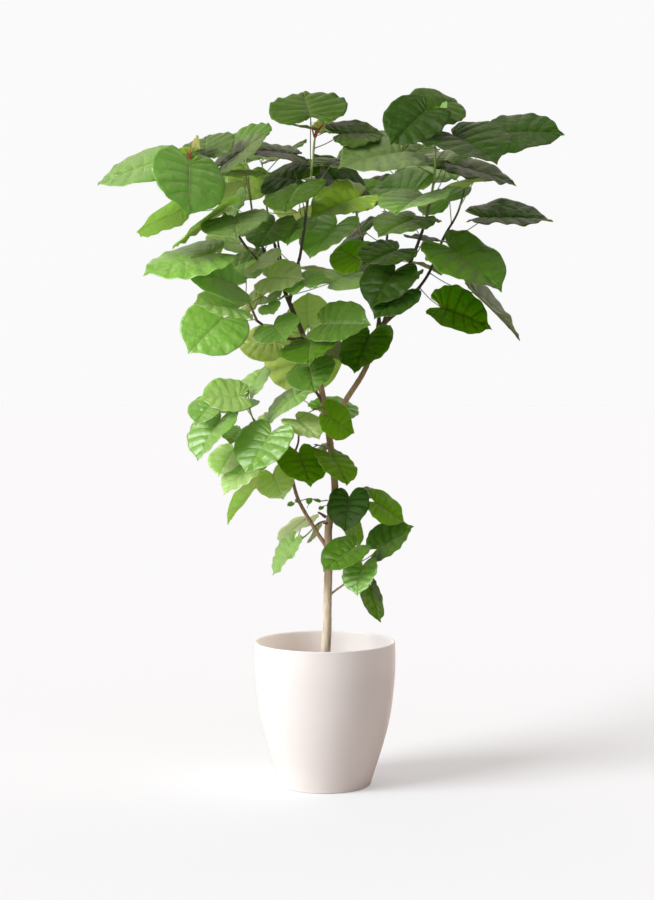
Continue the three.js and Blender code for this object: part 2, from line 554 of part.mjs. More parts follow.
// The soil fills the planter to a flat top, clear of the wall
function addSoil(inner) {
  const k = inner.findIndex(({ y }) => y < SOIL_TOP);
  const [above, below] = [inner[k - 1], inner[k]];
  const top = THREE.MathUtils.lerp(below.x, above.x, (SOIL_TOP - below.y) / (above.y - below.y));
  const profile = [
    new THREE.Vector2(0, POT_FLOOR + SLIT),
    new THREE.Vector2(FOOT_RADIUS - SLIT, POT_FLOOR + SLIT),
    ...inner.slice(k).reverse().map(({ x, y }) => new THREE.Vector2(x - SLIT, y)),
    new THREE.Vector2(top - SLIT, SOIL_TOP),
    new THREE.Vector2(0, SOIL_TOP),
  ];
  const plug = new THREE.LatheGeometry(profile, POT_SIDES);
  plug.rotateX(Math.PI / 2);
  place('soil', solid(plug), 'soil');
}

// Everything below the soil's top is cut off the trunk, so that it stands on a flat foot
function aboveSoil(shape) {
  const cut = new THREE.BoxGeometry(CUT_BLOCK, CUT_BLOCK, CUT_BLOCK);
  cut.translate(0, 0, SOIL_TOP + SLIT - CUT_BLOCK / 2);
  return shape.subtract(solid(cut));
}

function sidesOf(name) {
  return name === 'trunk' ? TRUNK_SIDES : BOUGH_SIDES;
}

function cutClear(shape, names) {
  return names.reduce((left, name) => left.subtract(limbSolid(LIMBS[name], sidesOf(name), SLIT)), shape);
}

addSoil(addPot());
for (const [name, limb] of Object.entries(LIMBS)) {
  const whole = limbSolid(limb, sidesOf(name));
  const kind = name === 'trunk' || name === 'bough_right' ? 'bark' : 'twig';
  place(name, limb.on ? cutClear(whole, limb.on) : aboveSoil(whole), kind);
  addRods(limb.path, limb.radius, name);
}
for (const [name, mass] of Object.entries(MASSES)) {
  mass.stems.forEach((stem) => addRods(stem.path, stem.radius, name));
}
growLeaves(Object.entries(MASSES).flatMap(([name, mass]) => wantedLeaves(name, mass)));
for (const [name, mass] of Object.entries(MASSES)) {
  const leaves = blades.filter((leaf) => leaf.name === name);
  const wood = mass.stems.map((stem) => limbSolid(stem, STEM_SIDES));
  const whole = Manifold.union([...wood, ...leaves.map(stalkSolid), ...leaves.map(bladeSolid)]);
  place(name, cutClear(whole, [mass.on]), name === 'foliage_low_left' ? 'young' : 'leaf');
}

export default model;
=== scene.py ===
"""Looks of a potted umbrella-leaf fig: a slim forked trunk, long-stalked heart-shaped leaves and a
plain round planter. The limbs and leaves grow by the same rule as in the part's source, in
millimetres, and the finished meshes are in metres."""
import math

import bmesh
import bpy
import numpy as np
from mathutils import Matrix, Vector, noise


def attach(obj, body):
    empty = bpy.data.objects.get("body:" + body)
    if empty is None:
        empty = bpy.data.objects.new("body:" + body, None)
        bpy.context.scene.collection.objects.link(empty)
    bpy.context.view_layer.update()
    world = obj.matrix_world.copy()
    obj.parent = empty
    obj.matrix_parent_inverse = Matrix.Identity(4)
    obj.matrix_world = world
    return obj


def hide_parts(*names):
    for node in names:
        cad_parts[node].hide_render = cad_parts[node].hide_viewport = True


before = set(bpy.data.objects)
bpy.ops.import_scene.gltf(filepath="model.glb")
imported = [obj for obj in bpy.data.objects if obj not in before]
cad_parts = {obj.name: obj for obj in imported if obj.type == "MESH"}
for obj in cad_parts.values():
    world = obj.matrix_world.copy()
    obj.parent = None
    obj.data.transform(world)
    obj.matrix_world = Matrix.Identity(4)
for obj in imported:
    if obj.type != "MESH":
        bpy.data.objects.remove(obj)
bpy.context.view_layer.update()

MM = 0.001
TURN = 2 * math.pi

# The camera looks a little down on the plant, from where the photograph was taken
CAMERA_PLACE = (0.0047, -3.9, 0.95)
CAMERA_PITCH = 2.38  # degrees below level
CAMERA_LENS = 66.56  # mm, on a film 36 mm tall
FILM_HEIGHT = 36
CAMERA_REACH = 100

# Light: a soft key and a wide fill from the left, a very wide weak one from the front, a bright
# sweep behind the plant, and a dim warm room on the viewer's side
KEYS = {
    "key": {"from": (-0.78, -0.41, 0.48), "strength": 3.3, "width": 32},
    "left": {"from": (-0.93, -0.3, 0.1), "strength": 1.3, "width": 80},
    "front": {"from": (-0.15, -0.9, 0.4), "strength": 0.8, "width": 120},
}
ROOM_LIGHT = 0.08
ROOM_TINT = (1, 0.85, 0.79)
SWEEP_LIGHT = 0.9
SWEEP_EDGE = (-0.1, 0.35)  # how far round the bright sweep reaches, as the depth part of a direction
BACKGROUND = 0.955
FLOOR_COLOUR = (0.582, 0.602, 0.618)
FLOOR_GLOW = 0.3
FLOOR_BOUNCE = (0.72, 0.63, 0.585)  # what the floor gives back to the plant
FLOOR_SIZE = 60  # metres
FLOOR_ROUGHNESS = 0.9
WHITE = (1, 1, 1)

# Planter and soil
POT_HEIGHT = 338
POT_WALL = 4
POT_FLOOR = 6
FOOT_RADIUS = 105
FOOT_ROUND = 4
POT_PROFILE = [(118, 33), (139, 100), (155, 167), (164, 246), (166, 296), (165, 332)]
POT_SIDES = 128
POT_RINGS = 40
SOIL_TOP = 276
SOIL_CLEAR = 0.5
HOLLOW = [(12, 1.5), (9, 0.4), (7, 0)]  # the shallow hollow underneath, in from the foot's edge

# The rule that limbs and leaves grow by, as in the part's source. A leaf keeps clear of the rest by
# the CLEAR values. Within the REACH values it is tested against blades, wood and stalks
DRAW_FACTOR = 16807
DRAW_RANGE = 2147483647
FLARE = 7
FLARE_HEIGHT = 24
CURVE_TENSION = 0.5
CURVE_STEPS = 60
LENGTH_STEPS = 200
STEM_PLACES = 40
ROD_LENGTH = 15
STALK_RODS = 4
# Half of a plain blade: its margin from the stalk's notch to the tip, and its width along the midrib
OUTLINE = [(0, 0), (-0.14, 0.05), (-0.27, 0.2), (-0.22, 0.42), (-0.02, 0.58), (0.24, 0.64),
           (0.5, 0.59), (0.72, 0.43), (0.88, 0.21), (1, 0)]
HALF_WIDTH = [(-0.27, 0.3), (-0.15, 0.52), (0.05, 0.61), (0.28, 0.64), (0.5, 0.59), (0.72, 0.43),
              (0.88, 0.21), (1, 0.03)]
STALK_SHARE = 0.6  # a stalk's length as a share of its blade's, where the row gives none
STALK_RADIUS = 1.7
CURL = (0.05, 0.16)
CUP = (0.04, 0.2)
# The way leaves face
LIGHT = np.array([-0.3, -0.62, 0.72]) / np.linalg.norm([-0.3, -0.62, 0.72])
BLADE_MIDDLE = 0.4
BLADE_REACH = 0.95
VEIN_FOOT = 0.05
BLADE_CLEAR = 4.5
WOOD_CLEAR = 2
WOOD_REACH = 30
STALK_REACH = 60
OWN_LIMB_REACH = 24
STALK_START = 0.06
LEAST_LENGTH = 1e-9
# How far a leaf without room may move: steps in depth, and then across on spokes
MOVE_DEPTH = 8
MOVE_DEPTHS = 11
MOVE_ACROSS = (0, 9, 18)
MOVE_SPOKES = 6

# Limbs: the radius at the foot and the tip, and the centre line
LIMBS = {
    "trunk": {"radius": (11, 6.6),
        "path": [(-1, 0, 262), (0, 0, 300), (5, 0, 363), (6, 0, 434), (9, 0, 541), (8, 0, 602),
                 (19, 0, 663), (23, 0, 708), (13, 0, 797), (0, 0, 886), (-9, 0, 933), (-26, 0, 999)]},
    "bough_left": {"radius": (6.4, 4.6),
        "path": [(-25, 0, 995), (-54, 0, 1064), (-86, 0, 1139), (-107, 0, 1195)]},
    "bough_left_outer": {"radius": (4.3, 3.7),
        "path": [(-106, 0, 1192), (-128, -5, 1212), (-155, -10, 1227)]},
    "bough_left_inner": {"radius": (4, 3.5),
        "path": [(-106, 0, 1192), (-119, 14, 1216), (-139, 25, 1238)]},
    "bough_dead": {"radius": (3.4, 2.2),
        "path": [(-92, 0, 1155), (-94, 12, 1180), (-99, 16, 1206), (-105, 19, 1244), (-112, 24, 1286)]},
    "bough_centre": {"radius": (4.4, 3.8),
        "path": [(-84, 0, 1134), (-74, -15, 1171), (-65, -30, 1216)]},
    "bough_back_left": {"radius": (4.6, 3.8),
        "path": [(-79, 0, 1125), (-92, 50, 1152), (-104, 110, 1205), (-120, 170, 1268)]},
    "bough_left_low": {"radius": (3.8, 3.2),
        "path": [(-49, 0, 1050), (-80, -14, 1047), (-114, -30, 1059), (-159, -45, 1090)]},
    "bough_right": {"radius": (7.2, 5.6),
        "path": [(9, 0, 812), (30, 3, 858), (47, 5, 901), (93, 10, 975), (132, 12, 1074),
                 (141, 12, 1088)]},
    "bough_right_top": {"radius": (5, 4.3),
        "path": [(140, 12, 1086), (168, -5, 1162), (195, -20, 1217)]},
    "bough_right_outer": {"radius": (4.8, 4.3),
        "path": [(139, 12, 1085), (156, 22, 1100), (177, 35, 1117)]},
    "bough_centre_right": {"radius": (4.4, 3.6),
        "path": [(125, 11, 1050), (128, 34, 1090), (121, 50, 1150), (107, 60, 1227)]},
    "bough_back_right": {"radius": (4.6, 3.8),
        "path": [(108, 10, 1012), (122, 50, 1060), (131, 90, 1119), (143, 160, 1207)]},
    "bough_low_left": {"radius": (5, 3.8),
        "path": [(9, 0, 552), (-6, -2, 575), (-21, -5, 598), (-61, -15, 669), (-77, -20, 723)]},
    "bough_low_right": {"radius": (2.6, 2.2),
        "path": [(6, 0, 440), (22, 0, 455), (44, 0, 471)]},
    "stub_fork": {"radius": (4.2, 3.2),
        "path": [(-5, 0, 900), (-14, -2, 914), (-22, -4, 926)]},
    "stub_low_left": {"radius": (3, 2.4),
        "path": [(-77, -20, 712), (-88, -22, 708), (-93, -23, 707)]},
}

# Masses: the limb each one meets and its stems. A leaf's row holds, in degrees and millimetres: the
# bearing and rise of its stalk, then the heading, droop and length of its blade, and last its tilt
# about the midrib and its stalk's share. The tones are one letter for each leaf.
# Those tones carry painted light and shade as well as each leaf's own colour
MASSES = {
    "foliage_left_top": {"on": "bough_left_outer", "seed": 11, "stems": [
        {"radius": (3.7, 1.8), "tones": "lwkwblmbmba",
         "path": [(-153, -9, 1225), (-184, -25, 1262), (-227, -50, 1329), (-257, -80, 1384),
                  (-305, -120, 1453)],
         "leaves": [(206, 1, 196, 15, 163, -10, 0.65), (318, -44, 300, 0, 80),
             (261, 32, 276, 19, 122, 10, 0.69), (255, 20, 206, 30, 150, -40, 0.57),
             (150, 61, 87, 5, 105, 0, 0.7),
             (203, -6, 211, 21, 124, -50, 0.8), (292, 62, 355, -37, 128, 15, 0.7),
             (235, 31, 279, 56, 140, 45), (88, 57, 96, -38, 112), (164, 12, 177, 15, 154, -10),
             (90, 32, 289, -7, 62)]}]},
    "foliage_left_inner": {"on": "bough_left_inner", "seed": 23, "stems": [
        {"radius": (3.5, 1.6), "tones": "wggvum",
         "path": [(-137, 24, 1235), (-163, 60, 1312), (-174, 75, 1358), (-189, 100, 1479)],
         "leaves": [(206, 20, 213, -3, 92, 0, 0.8), (325, 33, 233, 42, 95),
             (134, 25, 120, -16, 90, 40, 0.7), (246, 67, 245, -4, 90, 0, 0.65),
             (90, 39, 249, 58, 88, 40, 0.63), (57, 9, 60, -25, 112)]}]},
    "foliage_left_low": {"on": "bough_left_low", "seed": 37, "stems": [
        {"radius": (3.2, 1.6), "tones": "llubp",
         "path": [(-157, -44, 1088), (-175, -60, 1129), (-195, -75, 1156)],
         "leaves": [(199, 2, 215, 42, 122, 30, 0.65), (224, 47, 209, -20, 139), (51, 25, 144, 21, 80),
             (91, 61, 99, -31, 95), (265, -40, 211, -8, 108)]}]},
    "foliage_centre_top": {"on": "bough_centre", "seed": 41, "stems": [
        {"radius": (3.8, 1.8), "tones": "lbodnnomoa",
         "path": [(-65, -30, 1214), (-56, -35, 1248), (-39, -50, 1368), (-32, -55, 1416),
                  (-22, -60, 1513)],
         "leaves": [(323, -74, 92, -32, 80, 0, 0.8), (133, 71, 252, 33, 90, 0, 0.7),
             (249, 71, 250, 27, 118, -5, 0.88), (114, 72, 146, -11, 118, 0, 0.85),
             (142, 69, 198, -9, 122, -15, 1.1), (24, 50, 56, -20, 110, 0, 0.75),
             (90, 76, 101, -35, 142, -15, 0.97), (52, 81, 216, -8, 98, -15, 0.81),
             (337, 23, 15, -8, 104, 0, 0.7), (60, 33, 31, -20, 60)]}]},
    "foliage_centre_right": {"on": "bough_centre_right", "seed": 53, "stems": [
        {"radius": (3.6, 1.8), "tones": "tlyvny",
         "path": [(108, 60, 1224), (94, 60, 1262), (72, 55, 1355), (61, 50, 1377)],
         "leaves": [(245, -4, 132, -26, 92), (211, 34, 225, 40, 118, -5, 0.8),
             (231, 62, 201, 19, 128, 0, 0.75), (109, 59, 32, -40, 112), (245, 39, 170, -54, 139, -40),
             (86, -14, 245, 24, 92)]}]},
    "foliage_right_inner": {"on": "bough_right", "seed": 67, "stems": [
        {"radius": (2.6, 1.5), "start": 0.15, "tones": "ennn",
         "path": [(133, 8, 1071), (138, -20, 1098), (148, -45, 1137), (156, -60, 1182)],
         "leaves": [(237, -26, 234, 52, 108, -5), (325, 41, 206, 33, 96), (283, 52, 222, 45, 110),
             (282, 60, 218, 18, 108, 0, 0.7)]}]},
    "foliage_right_top": {"on": "bough_right_top", "seed": 71, "stems": [
        {"radius": (4.3, 2), "tones": "nvmbbdmknnob",
         "path": [(194, -20, 1215), (215, -30, 1267), (236, -55, 1336), (251, -75, 1429),
                  (249, -90, 1536)],
         "leaves": [(22, 56, 51, -4, 95), (319, -5, 331, 33, 160, 25), (252, 30, 223, 17, 114),
             (255, 45, 241, 19, 130), (126, 54, 152, -9, 112), (41, 57, 355, 14, 168, 25, 0.69),
             (34, 61, 76, -27, 120), (209, 28, 202, 8, 156, 0, 0.65), (300, 35, 306, 21, 168, 22, 0.51),
             (247, 55, 209, 39, 120, 15, 0.62), (109, 64, 44, -26, 110, -25, 0.57),
             (275, 40, 295, -17, 48)]}]},
    "foliage_right_outer": {"on": "bough_right_outer", "seed": 83, "stems": [
        {"radius": (4.2, 1.9), "tones": "dsoddgwbdn",
         "path": [(175, 34, 1115), (243, 75, 1199), (285, 110, 1294), (322, 130, 1361),
                  (347, 155, 1461), (354, 160, 1509)],
         "leaves": [(87, 48, 107, 1, 105), (341, -41, 358, 17, 127, 5),
             (17, -22, 15, 39, 166, 40, 0.75), (54, -7, 64, -12, 120),
             (338, 25, 356, -2, 163, 20, 0.7), (94, 67, 117, -19, 110),
             (20, 61, 232, -3, 78, -20, 0.87), (152, 43, 211, 5, 110, 0, 0.7), (53, 44, 70, -24, 120),
             (14, 28, 349, -5, 147, 4, 0.64)]}]},
    "foliage_middle": {"on": "bough_left", "seed": 97, "stems": [
        {"radius": (2.8, 1.8), "start": 0.35, "tones": "bvgwg",
         "path": [(-52, -2, 1060), (-49, -40, 1054), (-37, -70, 1048)],
         "leaves": [(198, 17, 291, 22, 92, 0, 0.8), (285, -14, 267, 24, 110), (319, 24, 331, -2, 112),
             (100, 32, 102, -72, 88), (275, -67, 275, 29, 96, 0, 0.75)]}]},
    "foliage_middle_left": {"on": "bough_left", "seed": 103, "stems": [
        {"radius": (2.6, 1.5), "start": 0.35, "tones": "pwbl",
         "path": [(-91, 0, 1152), (-104, -30, 1140), (-118, -50, 1136)],
         "leaves": [(342, 15, 37, -21, 100, 0, 1.2), (214, 36, 332, -2, 92), (222, 10, 301, -4, 48),
             (237, -27, 288, 23, 44)]}]},
    "foliage_middle_back": {"on": "trunk", "seed": 109, "stems": [
        {"radius": (2.8, 1.6), "start": 0.35, "tones": "oduu",
         "path": [(-22, 0, 985), (-36, 45, 1012), (-52, 75, 1024), (-78, 92, 1030)],
         "leaves": [(57, 26, 61, 18, 110), (164, 51, 115, -17, 105, 0, 0.65),
             (204, 13, 172, -2, 102, 0, 0.65), (73, 12, 91, 72, 155, 35, 0.55)]}]},
    "foliage_trunk_upper": {"on": "trunk", "seed": 127, "stems": [
        {"radius": (2.6, 1.6), "start": 0.35, "tones": "tbbw",
         "path": [(-1, 0, 890), (-9, -30, 887), (-21, -50, 885)],
         "leaves": [(286, -21, 21, 33, 80, -5), (204, 27, 176, 35, 104, -20, 0.65),
             (69, -9, 26, -11, 98), (207, -27, 321, 24, 78, 25, 0.7)]}]},
    "foliage_trunk_lower": {"on": "trunk", "seed": 131, "stems": [
        {"radius": (2.4, 1.5), "start": 0.35, "tones": "mss",
         "path": [(13, 0, 799), (0, -30, 798), (-16, -45, 801)],
         "leaves": [(118, -28, 118, 9, 90), (292, -23, 308, 39, 88, 45), (214, -17, 298, 44, 94, 30)]}]},
    "foliage_low_right": {"on": "trunk", "seed": 139, "stems": [
        {"radius": (2.4, 1.5), "start": 0.35, "tones": "nsmt",
         "path": [(18, 0, 656), (34, 8, 668), (55, 10, 672), (87, 5, 668)],
         "leaves": [(291, 12, 251, 66, 84), (87, -54, 85, 59, 88), (45, 21, 43, -10, 55),
             (308, -2, 6, 30, 84, 15)]}]},
    "foliage_lowest_right": {"on": "bough_low_right", "seed": 149, "stems": [
        {"radius": (2.2, 1.4), "tones": "ebvo",
         "path": [(43, 0, 470), (56, 2, 484), (68, 5, 500), (82, 8, 523)],
         "leaves": [(335, -3, 8, 78, 87, -50, 0.8), (331, 45, 244, 53, 76, -10),
             (261, 72, 210, 28, 95, -5, 0.65), (327, 34, 343, -35, 101, 5)]}]},
    "foliage_low_left": {"on": "bough_low_left", "seed": 151, "stems": [
        {"radius": (3.4, 1.4), "tones": "wbppllb",
         "path": [(-77, -20, 721), (-84, -28, 777), (-116, -35, 817), (-160, -40, 850),
                  (-176, -40, 892), (-178, -40, 920)],
         "leaves": [(194, 1, 298, 48, 74), (216, 49, 226, 48, 116, 0, 0.65),
             (158, 33, 133, 13, 90, 0, 0.65), (212, 48, 199, -1, 95, 5, 1.25),
             (219, 55, 214, 16, 84, 0, 0.85), (269, 51, 52, -56, 83, 20),
             (198, -14, 228, 35, 76, 0, 1.15)]},
        {"radius": (2.6, 1.4), "tones": "pwvpb",
         "path": [(-116, -35, 817), (-138, -26, 816), (-161, -20, 812), (-208, -15, 810)],
         "leaves": [(211, -47, 207, 40, 106, -15, 0.7), (132, -73, 186, 48, 108, -55, 1.15),
             (154, 30, 249, 21, 66, 0, 0.7), (132, -31, 234, 43, 80), (226, 46, 224, 44, 114, -15)]}]},
    "foliage_low_left_small": {"on": "trunk", "seed": 163, "stems": [
        {"radius": (2, 1.3), "start": 0.3, "tones": "ubw",
         "path": [(8, 0, 621), (-6, 8, 619), (-20, 12, 611), (-43, 14, 587), (-66, 10, 568)],
         "leaves": [(90, -40, 122, 25, 50), (228, -18, 186, 54, 91, -25), (57, 57, 219, 27, 90, -25)]}]},
    "foliage_back_left": {"on": "bough_back_left", "seed": 173, "stems": [
        {"radius": (3.8, 1.7), "tones": "gdgbdgdg",
         "path": [(-119, 168, 1266), (-141, 225, 1359), (-157, 270, 1487)],
         "leaves": [(29, -36, 59, 2, 120, 0, 0.7), (154, -52, 143, 4, 125, 0, 0.8),
             (196, -12, 237, -8, 120, 0, 0.75), (23, 3, 63, 15, 125, 0, 0.65),
             (22, 50, 51, -9, 120, 0, 0.65), (165, 2, 133, -3, 130, 0, 0.8),
             (313, 54, 282, 1, 100, 0, 0.75), (150, 63, 124, -20, 110)]}]},
    "foliage_back_right": {"on": "bough_back_right", "seed": 181, "stems": [
        {"radius": (3.8, 1.7), "tones": "dododmdo",
         "path": [(142, 158, 1205), (155, 230, 1322), (175, 285, 1464)],
         "leaves": [(106, 20, 127, 10, 130), (36, -7, 49, 4, 130), (145, 29, 125, 7, 120),
             (42, 34, 51, -2, 120), (126, 51, 129, -18, 125), (22, 41, 39, -24, 130, 0, 0.8),
             (33, 64, 49, -30, 115, 0, 0.7), (158, 47, 129, -18, 120, 0, 0.75)]}]},
}


def placed(name, data):
    made = bpy.data.objects.new(name, data)
    bpy.context.scene.collection.objects.link(made)
    return made


def set_camera():
    data = bpy.data.cameras.new("camera")
    data.sensor_fit = "VERTICAL"
    data.sensor_height = FILM_HEIGHT
    data.lens = CAMERA_LENS
    data.clip_end = CAMERA_REACH
    camera = placed("camera", data)
    camera.location = CAMERA_PLACE
    camera.rotation_euler = (math.radians(90 - CAMERA_PITCH), 0, 0)
    bpy.context.scene.camera = camera


set_camera()


def paint(name, colour, roughness, **sockets):
    """A material on one Principled shader, whose plain values are set on its own sockets."""
    material = bpy.data.materials.new(name)
    material.use_nodes = True
    shader = shader_of(material)
    shader.inputs["Base Color"].default_value = (*colour, 1)
    shader.inputs["Roughness"].default_value = roughness
    for socket, value in sockets.items():
        shader.inputs[socket.replace("_", " ")].default_value = value
    return material


def shader_of(material):
    return material.node_tree.nodes["Principled BSDF"]


def node(owner, kind, **values):
    """A node of a material or of the world, with values for its sockets and settings."""
    made = owner.node_tree.nodes.new(kind)
    for name, value in values.items():
        if name in made.inputs:
            made.inputs[name].default_value = value
        else:
            setattr(made, name, value)
    return made


def wire(owner, output, target):
    owner.node_tree.links.new(output, target)


def texture(material, kind, place, **values):
    made = node(material, kind, **values)
    wire(material, place, made.inputs["Vector"])
    return made


def own_place(material):
    return node(material, "ShaderNodeTexCoord").outputs["Object"]


def grain(material, **values):
    """Noise on the piece's own coordinates."""
    return texture(material, "ShaderNodeTexNoise", own_place(material), **values).outputs["Fac"]


def spread(owner, value, low, high, first=0, last=1):
    """A value from low to high, made to run from first to last."""
    ends = {"From Min": low, "From Max": high, "To Min": first, "To Max": last}
    span = node(owner, "ShaderNodeMapRange", **ends)
    wire(owner, value, span.inputs["Value"])
    return span.outputs["Result"]


def ramp(material, share, stops):
    """Colours by a share from 0 to 1."""
    made = node(material, "ShaderNodeValToRGB")
    steps = made.color_ramp.elements
    for k, (where, colour) in enumerate(stops):
        step = steps[k] if k < 2 else steps.new(where)
        step.position = where
        step.color = (*colour, 1)
    wire(material, share, made.inputs["Fac"])
    return made.outputs["Color"]


def relief(material, height, strength, distance, under=None):
    """Bump from a height socket, on the shader or under another bump."""
    bump = node(material, "ShaderNodeBump", Strength=strength, Distance=distance)
    wire(material, height, bump.inputs["Height"])
    wire(material, bump.outputs["Normal"], (under or shader_of(material)).inputs["Normal"])
    return bump


TWIG_GRAIN = (500, 3, 0.3)  # how fine, how many layers, and how strong
PLASTIC_GRAIN = (900, 2, 0.04)
GRAIN_HEIGHT = 0.0004


def grained(name, colour, roughness, look=TWIG_GRAIN, **sockets):
    """A plain colour with a fine grain in relief."""
    material = paint(name, colour, roughness, **sockets)
    scale, detail, strength = look
    relief(material, grain(material, Scale=scale, Detail=detail), strength, GRAIN_HEIGHT)
    return material


# Leaves let light through. Their relief is a net of fine veins on the leaf's own map, and an uneven
# swelling that breaks up the gloss
THIN = {"Subsurface_Weight": 0.9, "Subsurface_Scale": 0.002, "Subsurface_Radius": (0.6, 1.0, 0.25)}
NET_SCALE = 260
NET_HEIGHT = 0.002
NET_ABOVE = 0.35
NET_BELOW = 0.4
SWELL_SCALE = 52
SWELL_HEIGHT = 0.007
SWELL_STRENGTH = 0.6
SKIN_ROUGHNESS = 0.3
VEIN_ROUGHNESS = 0.42
BELOW_ROUGHNESS = 0.6
EDGE_ROUGHNESS = 0.5
VEIN_SHINE = 0.3
BELOW_SHINE = 0.15


def blade_paint(name, colour, roughness, shine, depth):
    """Leaf skin: a plain colour with the leaf's relief."""
    material = paint(name, colour, roughness, Specular_IOR_Level=shine, **THIN)
    place = node(material, "ShaderNodeUVMap", uv_map="leaf_map").outputs["UV"]
    net = texture(material, "ShaderNodeTexVoronoi", place, feature="DISTANCE_TO_EDGE",
                  voronoi_dimensions="2D", Scale=NET_SCALE)
    fine = relief(material, net.outputs["Distance"], depth, NET_HEIGHT)
    swells = grain(material, Scale=SWELL_SCALE, Detail=1)
    relief(material, swells, SWELL_STRENGTH, SWELL_HEIGHT, under=fine)
    return material


def vein_paint(name, colour, roughness):
    return paint(name, colour, roughness, Specular_IOR_Level=VEIN_SHINE, **THIN)


# Leaf tones, dealt out leaf by leaf: the tone's name, its kind and the upper skin's colour.
# The tones hold painted light and shade as well as each leaf's own green: the night, dark and olive
# tones are darker leaves with painted shade on them, the bright tones up to the palest are the leaves'
# own lighter green with painted light on lit leaves, the deep tones are saturated greens that paint
# light shining through the blade, and the backlit tone paints light shining through from behind.
# The lime and amber tones are young leaves
TONES = {
    "n": ("night", "night", (0.027, 0.062, 0.006)),
    "d": ("dark", "shade", (0.045, 0.092, 0.009)),
    "o": ("olive", "shade", (0.058, 0.118, 0.011)),
    "m": ("dull", "soft", (0.088, 0.150, 0.028)),
    "k": ("greyed", "soft", (0.135, 0.205, 0.060)),
    "v": ("full", "soft", (0.075, 0.165, 0.008)),
    "g": ("green", "soft", (0.095, 0.190, 0.025)),
    "e": ("deep_dark", "deep", (0.050, 0.105, 0.002)),
    "s": ("deep", "deep", (0.110, 0.220, 0.003)),
    "t": ("deep_lit", "deep", (0.150, 0.310, 0.005)),
    "b": ("bright", "bright", (0.165, 0.325, 0.048)),
    "l": ("light", "bright", (0.235, 0.425, 0.085)),
    "p": ("pale", "bright", (0.340, 0.520, 0.150)),
    "w": ("palest", "bright", (0.470, 0.640, 0.250)),
    "y": ("lime", "bright", (0.260, 0.420, 0.025)),
    "a": ("amber", "bright", (0.240, 0.220, 0.014)),
    "u": ("backlit", "pale", (0.300, 0.360, 0.100)),
}
# Kinds of leaf: the shine, then the colours of the upper veins, the lower skin and the lower veins.
# The deep kind's upper veins, darker than its skin, are painted light shining through the blade, and the
# pale kind's light lower skin and veins are painted light shining through from behind
KINDS = {
    "night": (0.1, (0.050, 0.095, 0.015), (0.050, 0.075, 0.022), (0.110, 0.145, 0.050)),
    "shade": (0.12, (0.090, 0.145, 0.030), (0.085, 0.120, 0.034), (0.165, 0.210, 0.075)),
    "soft": (0.28, (0.190, 0.300, 0.075), (0.170, 0.240, 0.068), (0.300, 0.390, 0.140)),
    "deep": (0.08, (0.040, 0.095, 0.002), (0.130, 0.230, 0.020), (0.220, 0.330, 0.050)),
    "bright": (0.85, (0.400, 0.570, 0.170), (0.400, 0.530, 0.170), (0.600, 0.690, 0.320)),
    "pale": (0.3, (0.620, 0.700, 0.340), (0.820, 0.840, 0.380), (0.880, 0.880, 0.560)),
}
EDGE = (0.300, 0.360, 0.100)

skin_paints = {tone: blade_paint("leaf_top_" + name, colour, SKIN_ROUGHNESS, KINDS[kind][0], NET_ABOVE)
               for tone, (name, kind, colour) in TONES.items()}
kind_paints = {kind: [vein_paint("vein_top_" + kind, vein, VEIN_ROUGHNESS),
                      blade_paint("leaf_under_" + kind, below, BELOW_ROUGHNESS, BELOW_SHINE, NET_BELOW),
                      vein_paint("vein_under_" + kind, vein_below, BELOW_ROUGHNESS)]
               for kind, (_, vein, below, vein_below) in KINDS.items()}
edge_paint = paint("leaf_edge", EDGE, EDGE_ROUGHNESS)


def curve_points(path, count):
    """Places along the smooth line through a path, by equal steps of its parameter."""
    points = np.array(path, float)
    last = len(points) - 1
    ends = [2 * points[0] - points[1], *points, 2 * points[-1] - points[-2]]
    places = []
    for k in range(count + 1):
        along = last * (k / count)
        i = min(math.floor(along), last - 1)
        w = along - i
        before, here, there, after = ends[i], ends[i + 1], ends[i + 2], ends[i + 3]
        start = CURVE_TENSION * (there - before)
        stop = CURVE_TENSION * (after - here)
        places.append(here + start * w + (3 * (there - here) - 2 * start - stop) * w * w
                      + (2 * (here - there) + start + stop) * w * w * w)
    return np.array(places)


def path_length(path):
    return float(np.linalg.norm(np.diff(curve_points(path, LENGTH_STEPS), axis=0), axis=1).sum())


def even_points(path, count):
    """Points evenly spaced by length along the smooth line."""
    fine = curve_points(path, CURVE_STEPS)
    run = np.concatenate([[0], np.cumsum(np.linalg.norm(np.diff(fine, axis=0), axis=1))])
    points = []
    for k in range(count + 1):
        want = run[-1] * k / count
        j = min(int(np.searchsorted(run[1:], want)) + 1, CURVE_STEPS)
        points.append(fine[j - 1] + (fine[j] - fine[j - 1]) * (want - run[j - 1]) / (run[j] - run[j - 1]))
    return np.array(points)


def from_to(ends, share):
    """The value at this share of the way between two."""
    return ends[0] + (ends[1] - ends[0]) * share


def aim(bearing, rise):
    b = math.radians(bearing)
    r = math.radians(rise)
    return np.array([math.cos(r) * math.cos(b), math.cos(r) * math.sin(b), math.sin(r)])


def seeded_draw(seed):
    """Draws from a seed, in the same order and values as in the part's source."""
    state = seed

    def draw(low, high):
        nonlocal state
        state = state * DRAW_FACTOR % DRAW_RANGE
        return low + (high - low) * state / DRAW_RANGE

    return draw


